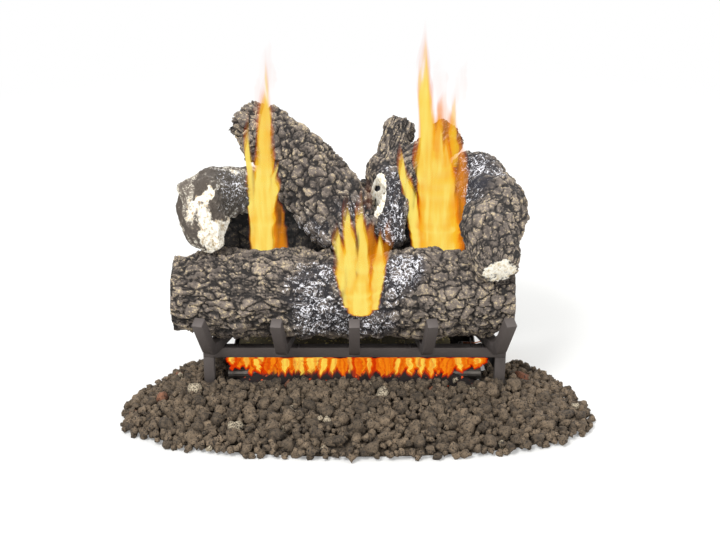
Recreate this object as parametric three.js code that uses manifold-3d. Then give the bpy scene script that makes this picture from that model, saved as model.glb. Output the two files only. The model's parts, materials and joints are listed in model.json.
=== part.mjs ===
// A vented gas log set: cast refractory logs on a welded steel grate, over a dual burner with a
// manual pilot valve, in a bed of lava rock. Millimetres, +Z up. X runs along the logs, the front
// faces -Y, and the floor is z = 0. While it is built, Y = 0 is a line between the two grate rails.
// At the end the whole set is moved so that the middle of its box stands over the origin.
import * as THREE from "three";
import { ConvexGeometry } from "three/addons/geometries/ConvexGeometry.js";
import { mergeVertices } from "three/addons/utils/BufferGeometryUtils.js";
import Module from "manifold-3d";

// Grate: square bar, welded.
const BAR = 19;
const LEG_HEIGHT = 70;
const RAIL_PAST_PAN = 45.5;
const FRONT_RAIL_REACH = 100;
const REAR_RAIL_REACH = 85;
const OUTER_BAR_INSET = 28.5;
const BAR_SPLAY = THREE.MathUtils.degToRad(9);
const BAR_TAIL = 40;
const FINGER_OVERHANG = 31;
const FINGER_LENGTH = 74;
const FINGER_TURN = THREE.MathUtils.degToRad(60);
const BEND_RADIUS = 17.5;
const BARS_EACH_SIDE = 2;

// Lower logs: they lie along X on the grate bars, each with a flat cast underneath.
const FRONT_LOG_LENGTH = 598;
const FRONT_LOG_HEIGHT = 160;
const FRONT_LOG_DEPTH = 154;
const FRONT_LOG_REACH = 86;
const FRONT_LOG_SHIFT = -20;
const REAR_LOG_LENGTH = 556;
const REAR_LOG_HEIGHT = 224;
const REAR_LOG_DEPTH = 150;
const REAR_LOG_REACH = 98;
const REAR_LOG_SHIFT = 4;
const LOG_FLAT = 6;
const NOTCH_SHIFT = 12;
const NOTCH_WIDTH = 34;

// Upper logs: each has one radius, and its spine below follows the lower logs.
const BIRCH_LOG_RADIUS = 45;
const BIG_LOG_RADIUS = 60;
const FORK_LOG_RADIUS = 42;
const CROOK_LOG_RADIUS = 48;
const KNOT_DEPTH = 12;
const KNOT_LENGTH = 67;
const KNOT_WIDTH = 25;

// Bark relief of the castings.
const LUMP_HEIGHT = 2.5;
const LUMP_LENGTH = 118;
const BARK_HEIGHT = 2;
const BARK_LENGTH = 46;
const FRONT_FURROW_DEPTH = 4;
const REAR_FURROW_DEPTH = 6;
const FURROW_WANDER_LENGTH = 230;

// Bed of lava rock.
const BED_LENGTH = 828;
const BED_SHIFT = 5;
const BED_FORWARD_SHIFT = 225;
const BED_FRONT_DEPTH = 131;
const BED_REAR_DEPTH = 322;
const BED_LEVEL = 36;
const BED_EDGE = 11;
const BED_LUMP = 2.5;
const STONE_RADIUS = 15;
const STONE_SINK = 1;
const STONE_MARGIN = 3;

// Burner: a sheet pan with a tube in it, and a second tube along its front.
const SHEET = 1.5;
const PAN_LENGTH = 450;
const PAN_DEPTH = 120;
const PAN_HEIGHT = 46;
const PAN_REACH = 10;
const TUBE_RADIUS = 11;
const TUBE_WALL = 1.5;
const TUBE_LEVEL = 28;
const TUBE_END_SPACE = 12;
const TUBE_STUB = 7;
const FRONT_TUBE_PAST_PAN = 1;
const FRONT_TUBE_REACH = 88;
const CROSS_TUBE_RADIUS = 8;
const CAP_THICKNESS = 2;
const PORT_RADIUS = 1.6;
const FRONT_PORTS = 12;
const REAR_PORTS = 8;
const SADDLE_WIDTH = 20;
const SADDLE_INSET = 76;
const SADDLE_LIP = 12;
const SADDLE_UPRIGHT = 26;

// Ember beds over the tubes.
const REAR_EMBER_EDGE = 38;
const REAR_EMBER_CROWN = 51;
const REAR_EMBER_MARGIN = 5;
const PILOT_SPACE = 44;
const FRONT_EMBER_EDGE = 14;
const FRONT_EMBER_CROWN = 44;
const FRONT_EMBER_INSET = 3;
const FRONT_EMBER_DEPTH = 64;

// Manual pilot valve at the right end of the rear tube.
const FITTING_LENGTH = 11;
const FITTING_RADIUS = 12;
const VALVE_WIDTH = 34;
const VALVE_DEPTH = 45;
const VALVE_HEIGHT = 34;
const NECK_RADIUS = 10;
const NECK_LENGTH = 8;
const SLEEVE_RADIUS = 6;
const SLEEVE_PROUD = 5;
const SLEEVE_DEPTH = 12;
const STEM_RADIUS = 3.2;
const KNOB_RADIUS = 16;
const KNOB_LENGTH = 15;
const KNOB_GRIP_WIDTH = 6;
const KNOB_GRIP_HEIGHT = 7;
const KNOB_TRAVEL = 4;
const INLET_RADIUS = 8;
const INLET_BORE = 4;
const INLET_LENGTH = 22;
const VALVE_PLATE_WIDTH = 34;

// Pilot burner and thermocouple, on a small bracket at the pan's front wall.
const PILOT_INSET = 24;
const PILOT_PLATE_WIDTH = 26;
const PILOT_PLATE_DEPTH = 32;
const PILOT_SHELF_LEVEL = 52;
const PILOT_UPRIGHT = 28;
const PILOT_EAR_HEIGHT = 14;
const PILOT_LINE_RISE = 7;
const PILOT_LINE_SPACING = 12;
const HOOD_RADIUS = 5;
const HOOD_HEIGHT = 16;
const PROBE_RADIUS = 2.5;
const PROBE_LENGTH = 20;
const PILOT_TUBE_RADIUS = 2;
const LEAD_RADIUS = 1.2;
const LINE_BEND = 10;

// Screws, all alike.
const SCREW_RADIUS = 2;
const SCREW_HEAD_RADIUS = 3.6;
const SCREW_HEAD_HEIGHT = 2.4;
const SCREW_LENGTH = 7;

// Clearances and overruns.
const FIT_GAP = 0.3;
const CARVE_GAP = 0.4;
const POCKET_GAP = 0.6;
const NEIGHBOUR_GAP = 2.5;
const OVERRUN = 40;
const MERGE_DISTANCE = 0.001;

// Steps round and along the shapes.
const LOG_SIDES = 20;
const FURROWS = 12;
const SLAB_RINGS = 4;
const FRONT_LOG_SLABS = 10;
const REAR_LOG_SLABS = 9;
const UPPER_LOG_RINGS = 18;
const TUBE_SIDES = 16;
const SMALL_SIDES = 10;
const BEND_STEPS = 6;
const LINE_STEPS = 22;
const BED_SIDES = 52;
const STONES = 92;

// Spines of the upper logs. Each point is [along, across, above, thickness]: along is a share of half
// the front log's length from the grate's middle, across runs from 0 over the front log to 1 over the
// rear log, above is in log radii over the line between their tops, and thickness is a share of the radius.
const BIRCH_SPINE_SHARES = [
  [-0.801, -0.043, 0.16, 0.42],
  [-0.868, 0.0, 0.94, 0.76],
  [-0.887, 0.185, 1.39, 1.07],
  [-0.755, 0.467, 1.08, 1.0],
  [-0.641, 0.674, 0.53, 0.93],
];
const BIG_SPINE_SHARES = [
  [0.032, 0.109, -0.04, 0.9],
  [-0.166, 0.511, 0.46, 1.15],
  [-0.422, 0.984, 1.0, 1.0],
  [-0.688, 1.364, 1.21, 0.7],
];
const FORK_STEM_SHARES = [
  [0.25, 0.098, -0.06, 0.43],
  [0.176, 0.402, 0.64, 1.02],
  [0.221, 0.739, 0.97, 1.1],
  [0.242, 1.065, 1.33, 0.74],
  [0.289, 1.337, 1.66, 0.64],
];
const FORK_PRONG_SHARES = [
  [0.232, 0.63, 0.8, 0.86],
  [0.325, 0.804, 1.0, 0.9],
  [0.464, 1.038, 1.18, 0.86],
  [0.595, 1.283, 1.35, 0.79],
];
const CROOK_SPINE_SHARES = [
  [0.66, 1.011, 0.55, 0.72],
  [0.765, 0.793, 0.58, 1.0],
  [0.832, 0.359, 0.66, 1.2],
  [0.8, 0.0, 0.7, 1.12],
  [0.813, -0.261, 0.38, 0.92],
  [0.825, -0.402, 0.34, 0.72],
];
const KNOT_PLACE_SHARES = [0.145, 0.3, 0.85];

// Thickness of the lower logs from their left end to their right end.
const FRONT_LOG_THICKNESS_SHARES = [0.86, 0.97, 1, 0.99, 1, 0.98, 1, 0.99, 0.96, 0.85];
const REAR_LOG_THICKNESS_SHARES = [0.82, 0.97, 1, 0.98, 1, 1, 0.97, 1, 0.95, 0.8];
const NOTCH_DEPTH_SHARE = 0.3;

// Bark slabs on the lower logs: how far their furrows wander round them, as a share of one furrow's
// spacing, and where the first cross crack of each row of slabs lies, as a share of a slab.
const FURROW_WANDER_SHARE = 0.35;
const CRACK_PLACE_SHARES = [0, 0.5, 0.25, 0.75, 0, 0.5, 0.75, 0.25, 0.5, 0, 0.75, 0.25];

// Rings of the ember heaps and of the rock bed, as shares of their outlines, from the rim inwards.
const HEAP_RING_SHARES = [0.93, 0.8, 0.6, 0.35, 0.12];
const BED_RING_SHARES = [0.965, 0.9, 0.8, 0.68, 0.54, 0.38, 0.2];

// Squareness of their outlines: 1 is an ellipse, and towards 0 it is a rectangle.
const HEAP_SQUARENESS = 0.25;
const BED_FRONT_SQUARENESS = 0.9;

// Main stones on the bed: how flat they are, and how far out the outermost lie.
const STONE_SCALE_SHARES = [1, 0.85, 0.72];
const STONE_REACH_SHARE = 0.88;

// Where the pilot tube and the thermocouple lead enter the valve's top, from its middle line.
const LINE_PORT_SHARE = 0.2;

const wasm = await Module();
wasm.setup();

const steelBar = finish(0x46403c, 0.75, 0.45);
const burnerSteel = finish(0x8f8d89, 0.45, 0.85);
const brass = finish(0xb08d45, 0.35, 0.9);
const copper = finish(0xb26b42, 0.4, 0.9);
const knobPlastic = finish(0x1d1d1f, 0.5, 0);
const darkBark = finish(0x4a4440, 0.95, 0);
const rearBark = finish(0x2b2826, 0.97, 0);
const birchBark = finish(0x8a8071, 0.92, 0);
const emberGrain = finish(0x8b7d55, 0.95, 0);
const glowingEmber = finish(0xb5532a, 0.9, 0);
const lavaRock = finish(0x5a4c40, 0.97, 0);

const frontRailLength = PAN_LENGTH + 2 * RAIL_PAST_PAN;
const barSpacing = (frontRailLength / 2 - OUTER_BAR_INSET) / BARS_EACH_SIDE;
const frontTubeLength = PAN_LENGTH + 2 * FRONT_TUBE_PAST_PAN;
const saddleSpacing = frontTubeLength - 2 * SADDLE_INSET;
const logSeat = LEG_HEIGHT + 2 * BAR + FIT_GAP;
const frontLogTop = logSeat + FRONT_LOG_HEIGHT;
const rearLogTop = logSeat + REAR_LOG_HEIGHT;

const set = new THREE.Group();

function finish(color, roughness, metalness) {
  return new THREE.MeshStandardMaterial({ color, roughness, metalness });
}

function add(parent, name, geometry, material) {
  const mesh = new THREE.Mesh(geometry, material);
  mesh.name = name;
  parent.add(mesh);
  return mesh;
}

function count(length) {
  return Array.from({ length }, (_, index) => index);
}

// Volume inside a closed indexed skin: positive when its faces point out.
function signedVolume(points, faces) {
  let six = 0;
  for (let face = 0; face < faces.length; face += 3) {
    const [a, b, c] = [points[faces[face]], points[faces[face + 1]], points[faces[face + 2]]];
    six += a.dot(b.clone().cross(c));
  }
  return six / 6;
}

// A closed skin over a stack of rings of points. Each end is a fan to the middle of its ring.
function skin(rings) {
  const sides = rings[0].length;
  const points = rings.flat();
  const faces = [];
  for (let ring = 0; ring + 1 < rings.length; ring++) {
    for (let side = 0; side < sides; side++) {
      const here = ring * sides + side;
      const next = ring * sides + ((side + 1) % sides);
      faces.push(here, next, next + sides, here, next + sides, here + sides);
    }
  }
  for (const end of [0, rings.length - 1]) {
    const centre = rings[end].reduce((sum, point) => sum.add(point), new THREE.Vector3());
    points.push(centre.divideScalar(sides));
    for (let side = 0; side < sides; side++) {
      const here = end * sides + side;
      const next = end * sides + ((side + 1) % sides);
      const fan = [points.length - 1, next, here];
      faces.push(...(end === 0 ? fan : fan.reverse()));
    }
  }
  if (signedVolume(points, faces) < 0) faces.reverse();
  const geometry = new THREE.BufferGeometry().setFromPoints(points);
  geometry.setIndex(faces);
  geometry.computeVertexNormals();
  return geometry;
}

// A closed mesh as a solid that can be cut and joined. A lathe or an extrusion may come out with its
// faces pointing in, so it is turned round when its volume is negative.
function solidOf(geometry) {
  const bare = new THREE.BufferGeometry().setAttribute("position", geometry.getAttribute("position"));
  bare.setIndex(geometry.getIndex());
  const merged = mergeVertices(bare, MERGE_DISTANCE);
  const corners = merged.getAttribute("position");
  const points = count(corners.count).map((i) => new THREE.Vector3().fromBufferAttribute(corners, i));
  const faces = [...merged.getIndex().array];
  if (signedVolume(points, faces) < 0) faces.reverse();
  const mesh = new wasm.Mesh({
    numProp: 3,
    vertProperties: new Float32Array(corners.array),
    triVerts: new Uint32Array(faces),
  });
  return new wasm.Manifold(mesh);
}

function geometryOf(solid) {
  const mesh = solid.getMesh();
  const geometry = new THREE.BufferGeometry();
  geometry.setAttribute("position", new THREE.BufferAttribute(mesh.vertProperties, mesh.numProp));
  geometry.setIndex(new THREE.BufferAttribute(mesh.triVerts, 1));
  geometry.computeVertexNormals();
  return geometry;
}

// The solid without the cutters, and without the crumbs that a cut may leave beside it.
function cut(geometry, cutters) {
  const whole = cutters.reduce((solid, cutter) => solid.subtract(solidOf(cutter)), solidOf(geometry));
  const bodies = whole.decompose();
  return geometryOf(bodies.reduce((most, body) => (body.volume() > most.volume() ? body : most)));
}

function join(geometries) {
  return geometryOf(geometries.map(solidOf).reduce((sum, solid) => sum.add(solid)));
}

// A box given by its lowest and highest corners.
function block([x0, y0, z0], [x1, y1, z1]) {
  const geometry = new THREE.BoxGeometry(x1 - x0, y1 - y0, z1 - z0);
  return geometry.translate((x0 + x1) / 2, (y0 + y1) / 2, (z0 + z1) / 2);
}

// A turned piece: its profile is [radius, distance] along the axis, which starts at the given point.
const AXIS_TURNS = {
  "+X": (geometry) => geometry.rotateZ(-Math.PI / 2),
  "-X": (geometry) => geometry.rotateZ(Math.PI / 2),
  "+Y": (geometry) => geometry,
  "-Y": (geometry) => geometry.rotateX(Math.PI),
  "+Z": (geometry) => geometry.rotateX(Math.PI / 2),
};
function turned(profile, axis, [x, y, z], sides = TUBE_SIDES) {
  const points = profile.map(([radius, distance]) => new THREE.Vector2(radius, distance));
  const lathe = new THREE.LatheGeometry(points, sides);
  return geometryOf(solidOf(AXIS_TURNS[axis](lathe).translate(x, y, z)));
}

function rod(radius, length, axis, start, sides = TUBE_SIDES) {
  return turned([[0, 0], [radius, 0], [radius, length], [0, length]], axis, start, sides);
}

function pipe(outer, inner, length, axis, start, sides = TUBE_SIDES) {
  const wall = [[inner, 0], [outer, 0], [outer, length], [inner, length], [inner, 0]];
  return turned(wall, axis, start, sides);
}

// A screw whose head lies against a plate at the given point and whose shank runs along the axis.
function screw(axis, [x, y, z]) {
  const away = { "+Y": [0, -1, 0], "-X": [1, 0, 0] }[axis];
  const start = [x, y, z].map((value, i) => value + away[i] * (SCREW_HEAD_HEIGHT + FIT_GAP));
  const shoulder = SCREW_HEAD_HEIGHT;
  const profile = [
    [0, 0],
    [SCREW_HEAD_RADIUS * 0.7, 0],
    [SCREW_HEAD_RADIUS, shoulder * 0.45],
    [SCREW_HEAD_RADIUS, shoulder],
    [SCREW_RADIUS, shoulder],
    [SCREW_RADIUS, shoulder + SCREW_LENGTH],
    [0, shoulder + SCREW_LENGTH],
  ];
  return turned(profile, axis, start, SMALL_SIDES);
}

function screwHole(axis, [x, y, z]) {
  const back = { "+Y": [0, -OVERRUN / 2, 0], "-X": [OVERRUN / 2, 0, 0] }[axis];
  const start = [x + back[0], y + back[1], z + back[2]];
  return rod(SCREW_RADIUS + FIT_GAP, OVERRUN, axis, start, SMALL_SIDES);
}

// Grate

// A bent grate bar, lying along its own -Y with its bend forward of the rail and its finger standing up.
// Its origin is the middle of the bar over the middle of the front rail.
function bentBar(splay) {
  const half = BAR / 2;
  const rear = (FRONT_RAIL_REACH + REAR_RAIL_REACH + BAR_TAIL) / Math.cos(splay);
  const down = -Math.PI / 2;
  const turnedTo = down + FINGER_TURN;
  const along = new THREE.Vector2(Math.cos(FINGER_TURN), Math.sin(FINGER_TURN));
  const across = new THREE.Vector2(-along.y, along.x);
  const bendAt = (radius, angle) =>
    new THREE.Vector2(FINGER_OVERHANG + radius * Math.cos(angle), BEND_RADIUS + radius * Math.sin(angle));
  const tip = bendAt(BEND_RADIUS + half, turnedTo).addScaledVector(along, FINGER_LENGTH);
  const innerTip = tip.clone().addScaledVector(across, BAR);
  const outline = new THREE.Shape();
  outline.moveTo(-rear, -half);
  outline.lineTo(FINGER_OVERHANG, -half);
  outline.absarc(FINGER_OVERHANG, BEND_RADIUS, BEND_RADIUS + half, down, turnedTo, false);
  outline.lineTo(tip.x, tip.y);
  outline.lineTo(innerTip.x, innerTip.y);
  outline.absarc(FINGER_OVERHANG, BEND_RADIUS, BEND_RADIUS - half, turnedTo, down, true);
  outline.lineTo(-rear, half);
  const geometry = new THREE.ExtrudeGeometry(outline, {
    depth: BAR,
    bevelEnabled: false,
    curveSegments: BEND_STEPS,
  });
  geometry.translate(0, 0, -half);
  const forward = new THREE.Vector3(0, -1, 0);
  const up = new THREE.Vector3(0, 0, 1);
  const side = forward.clone().cross(up);
  return geometry.applyMatrix4(new THREE.Matrix4().makeBasis(forward, up, side));
}

function addGrate() {
  const grate = new THREE.Group();
  set.add(grate);
  const half = BAR / 2;
  const railTop = LEG_HEIGHT + BAR;
  const outerSplay = BARS_EACH_SIDE * BAR_SPLAY;
  const railSpacing = FRONT_RAIL_REACH + REAR_RAIL_REACH;
  const outerCrossing = BARS_EACH_SIDE * barSpacing - railSpacing * Math.tan(outerSplay);
  const rails = [
    { name: "front", halfLength: frontRailLength / 2, y: -FRONT_RAIL_REACH },
    { name: "rear", halfLength: outerCrossing + BAR, y: REAR_RAIL_REACH },
  ];
  for (const { name, halfLength, y } of rails) {
    const rail = block([-halfLength, y - half, LEG_HEIGHT], [halfLength, y + half, railTop]);
    add(grate, `${name}_rail`, rail, steelBar);
    for (const [side, sign] of [["left", -1], ["right", 1]]) {
      const x = sign * (halfLength - half);
      const leg = block([x - half, y - half, 0], [x + half, y + half, LEG_HEIGHT]);
      add(grate, `${name}_${side}_leg`, leg, steelBar);
    }
  }
  for (const step of count(2 * BARS_EACH_SIDE + 1)) {
    const place = step - BARS_EACH_SIDE;
    const splay = place * BAR_SPLAY;
    const bar = add(grate, `grate_bar_${step + 1}`, bentBar(splay), steelBar);
    bar.position.set(place * barSpacing, -FRONT_RAIL_REACH, railTop + half);
    bar.rotation.z = splay;
  }
}

// Logs

// Value of a list of shares at a place from 0 to 1, eased between its entries.
function shareAt(shares, place) {
  const at = place * (shares.length - 1);
  const low = Math.min(Math.floor(at), shares.length - 2);
  const ease = THREE.MathUtils.smoothstep(at - low, 0, 1);
  return THREE.MathUtils.lerp(shares[low], shares[low + 1], ease);
}

// Long lumps and shorter bark ridges, as a height over the plain log.
function relief(angle, distance, seed) {
  const lump = Math.sin(2 * angle + (2 * Math.PI * distance) / LUMP_LENGTH + seed);
  const bark = Math.sin(6 * angle + seed) * Math.sin((2 * Math.PI * distance) / BARK_LENGTH + 2 * seed);
  return LUMP_HEIGHT * lump + BARK_HEIGHT * bark;
}

// How far the furrows have turned round the log at a distance from its left end.
function furrowTurn(distance) {
  const wander = (FURROW_WANDER_SHARE * 2 * Math.PI) / FURROWS;
  return wander * Math.sin((2 * Math.PI * distance) / FURROW_WANDER_LENGTH);
}

// Whether a point lies in a furrow along the log or in a cross crack between its slabs of bark. side
// counts round the log, with a furrow at each odd number, and step counts the rings along it.
function inFurrow(side, step) {
  if (side % 2 === 1) return true;
  const crack = CRACK_PLACE_SHARES[side / 2] * SLAB_RINGS;
  return (step - crack) % SLAB_RINGS === 0;
}

// Share of the front log that is burnt away at its middle, on its upper front side.
function notchShare(x, angle) {
  const across = Math.exp(-(((x - NOTCH_SHIFT) / NOTCH_WIDTH) ** 2));
  const upperFront = Math.max(0, Math.cos(angle - (5 * Math.PI) / 8));
  return NOTCH_DEPTH_SHARE * across * upperFront;
}

const frontLog = {
  length: FRONT_LOG_LENGTH,
  height: FRONT_LOG_HEIGHT,
  depth: FRONT_LOG_DEPTH,
  x: FRONT_LOG_SHIFT,
  y: -FRONT_LOG_REACH,
  shares: FRONT_LOG_THICKNESS_SHARES,
  notch: notchShare,
  seed: 1,
  rings: FRONT_LOG_SLABS * SLAB_RINGS,
  furrow: FRONT_FURROW_DEPTH,
};
const rearLog = {
  length: REAR_LOG_LENGTH,
  height: REAR_LOG_HEIGHT,
  depth: REAR_LOG_DEPTH,
  x: REAR_LOG_SHIFT,
  y: REAR_LOG_REACH,
  shares: REAR_LOG_THICKNESS_SHARES,
  notch: () => 0,
  seed: 4,
  rings: REAR_LOG_SLABS * SLAB_RINGS,
  furrow: REAR_FURROW_DEPTH,
};

// A log along X, oval, with a flat underneath. grow makes it larger all round. As a cutter for what
// lies on it, it has no furrows, and its lower half goes straight down to the floor, so that nothing
// hooks into it or under it.
function lyingLog(log, { grow = 0, cutter = false } = {}) {
  const halfHeight = (log.height + LOG_FLAT) / 2;
  const axisLevel = logSeat - LOG_FLAT + halfHeight;
  const sides = 2 * FURROWS;
  const sideStep = (2 * Math.PI) / sides;
  const rings = count(log.rings + 1).map((ring) => {
    const place = ring / log.rings;
    const x = log.x + (place - 0.5) * (log.length + 2 * grow);
    const reach = (half, angle) => {
      const share = shareAt(log.shares, place) * (1 - log.notch(x, angle));
      return half * share + relief(angle, place * log.length, log.seed) + grow;
    };
    return count(sides).map((side) => {
      const angle = side * sideStep + (cutter && side > FURROWS ? 0 : furrowTurn(place * log.length));
      const furrow = cutter || !inFurrow(side, ring) ? 0 : log.furrow;
      const y = log.y + Math.cos(angle) * (reach(log.depth / 2, angle) - furrow);
      const z = axisLevel + Math.sin(angle) * (reach(halfHeight, angle) - furrow);
      if (!cutter) return new THREE.Vector3(x, y, Math.max(z, logSeat));
      if (side <= FURROWS) return new THREE.Vector3(x, y, z);
      const sideways = Math.cos(angle);
      const widest = reach(log.depth / 2, sideways < 0 ? Math.PI : 0);
      const spread = THREE.MathUtils.clamp(sideways / Math.cos(sideStep), -1, 1);
      return new THREE.Vector3(x, log.y + spread * widest, 0);
    });
  });
  return skin(rings);
}

// Where a spine entry lies, and how thick the log is there.
function spinePoint([along, across, above], radius) {
  const x = (along * FRONT_LOG_LENGTH) / 2;
  const y = THREE.MathUtils.lerp(-FRONT_LOG_REACH, REAR_LOG_REACH, across);
  const tops = THREE.MathUtils.lerp(frontLogTop, rearLogTop, across);
  return new THREE.Vector3(x, y, tops + above * radius);
}

// Rings of a round log along a smooth curve through its spine entries. grow makes it thicker, and
// longer at both ends.
function bentRings(spineShares, radius, seed, grow = 0) {
  const spine = new THREE.CatmullRomCurve3(spineShares.map((entry) => spinePoint(entry, radius)));
  const frames = spine.computeFrenetFrames(UPPER_LOG_RINGS, false);
  const length = spine.getLength();
  const shares = spineShares.map((entry) => entry[3]);
  const past = { 0: -grow, [UPPER_LOG_RINGS]: grow };
  return count(UPPER_LOG_RINGS + 1).map((ring) => {
    const place = ring / UPPER_LOG_RINGS;
    const axis = spine.getPointAt(place).addScaledVector(frames.tangents[ring], past[ring] ?? 0);
    const knot = spine.getUtoTmapping(place);
    return count(LOG_SIDES).map((side) => {
      const angle = (2 * Math.PI * side) / LOG_SIDES;
      const reach = radius * shareAt(shares, knot) + relief(angle, place * length, seed) + grow;
      return axis
        .clone()
        .addScaledVector(frames.normals[ring], reach * Math.cos(angle))
        .addScaledVector(frames.binormals[ring], reach * Math.sin(angle));
    });
  });
}

function bentLog(spineShares, radius, seed) {
  return skin(bentRings(spineShares, radius, seed));
}

// The open knot on the left front of the forked log, as an upright oval hollow.
function knotHollow() {
  const hollow = new THREE.SphereGeometry(1, SMALL_SIDES, SMALL_SIDES);
  hollow.rotateX(Math.PI / 2);
  hollow.scale(KNOT_WIDTH / 2, KNOT_DEPTH, KNOT_LENGTH / 2);
  const place = spinePoint(KNOT_PLACE_SHARES, FORK_LOG_RADIUS);
  return hollow.translate(place.x, place.y, place.z);
}

// The room straight above and below a log and its gap, as one upright prism round each two rings.
// What is cut by it can be lifted straight past the log.
function curtain(spineShares, radius, seed) {
  const rings = bentRings(spineShares, radius, seed, NEIGHBOUR_GAP);
  const prisms = rings.slice(1).map((ring, before) => {
    const outline = [...rings[before], ...ring];
    const bottom = outline.map((point) => point.clone().setZ(0));
    const top = outline.map((point) => point.clone().setZ(2 * rearLogTop));
    return new ConvexGeometry([...bottom, ...top]);
  });
  return join(prisms);
}

function addLogs() {
  const logs = new THREE.Group();
  set.add(logs);
  add(logs, "front_log", lyingLog(frontLog), darkBark);
  add(logs, "rear_log", lyingLog(rearLog), rearBark);
  const seats = [frontLog, rearLog].map((log) => lyingLog(log, { grow: CARVE_GAP, cutter: true }));
  const bigForm = [BIG_SPINE_SHARES, BIG_LOG_RADIUS, 3];
  const bigCurtain = curtain(...bigForm);
  const prongForm = [FORK_PRONG_SHARES, FORK_LOG_RADIUS, 6];
  const prongCurtain = curtain(...prongForm);
  const fork = join([bentLog(FORK_STEM_SHARES, FORK_LOG_RADIUS, 5), bentLog(...prongForm)]);
  const birch = bentLog(BIRCH_SPINE_SHARES, BIRCH_LOG_RADIUS, 2);
  const crook = bentLog(CROOK_SPINE_SHARES, CROOK_LOG_RADIUS, 7);
  add(logs, "birch_log", cut(birch, [...seats, bigCurtain]), birchBark);
  add(logs, "big_log", cut(bentLog(...bigForm), seats), darkBark);
  add(logs, "fork_log", cut(fork, [...seats, bigCurtain, knotHollow()]), darkBark);
  add(logs, "crook_log", cut(crook, [...seats, prongCurtain]), darkBark);
}

// Burner

function panWalls() {
  return {
    left: -PAN_LENGTH / 2,
    right: PAN_LENGTH / 2,
    front: PAN_REACH - PAN_DEPTH / 2,
    rear: PAN_REACH + PAN_DEPTH / 2,
  };
}

function saddlePlaces() {
  return [["left", -saddleSpacing / 2], ["right", saddleSpacing / 2]];
}

const saddleFoot = TUBE_LEVEL - TUBE_RADIUS - FIT_GAP - SHEET;
const saddleScrewLevel = saddleFoot + SADDLE_UPRIGHT - 2 * SCREW_RADIUS;
const valvePlateLevel = TUBE_LEVEL - VALVE_HEIGHT / 2 - FIT_GAP - SHEET;
const valveScrewLevel = valvePlateLevel - SCREW_HEAD_RADIUS;
const pilotMiddle = PAN_LENGTH / 2 - PILOT_INSET;
const pilotScrewLevel = PILOT_SHELF_LEVEL - PILOT_UPRIGHT / 2;

// Places where a screw goes through the pan's wall.
function wallScrews() {
  const { front, right } = panWalls();
  const plateFace = front - SHEET;
  const saddles = saddlePlaces().map(([side, x]) => ({
    name: `${side}_saddle_screw`,
    axis: "+Y",
    at: [x, plateFace, saddleScrewLevel],
  }));
  const valve = [["front", -1], ["rear", 1]].map(([side, sign]) => ({
    name: `valve_plate_${side}_screw`,
    axis: "-X",
    at: [right + SHEET, PAN_REACH + (sign * VALVE_PLATE_WIDTH) / 4, valveScrewLevel],
  }));
  const pilot = { name: "pilot_bracket_screw", axis: "+Y", at: [pilotMiddle, plateFace, pilotScrewLevel] };
  return [...saddles, ...valve, pilot];
}

function screwHoles() {
  return wallScrews().map(({ axis, at }) => screwHole(axis, at));
}

// A round hole along Y for the cross tube, from the front tube to the rear one.
function crossBore(radius, margin) {
  const length = FRONT_TUBE_REACH + PAN_REACH + 2 * margin;
  return rod(radius, length, "+Y", [0, -FRONT_TUBE_REACH - margin, TUBE_LEVEL]);
}

// Gas ports in one line along a tube, upwards or downwards from its axis.
function ports(total, start, end, y, upward) {
  const length = TUBE_RADIUS + FIT_GAP;
  const base = upward ? TUBE_LEVEL : TUBE_LEVEL - length;
  return count(total).map((port) => {
    const x = THREE.MathUtils.lerp(start, end, (port + 0.5) / total);
    return rod(PORT_RADIUS, length, "+Z", [x, y, base], 6);
  });
}

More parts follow.
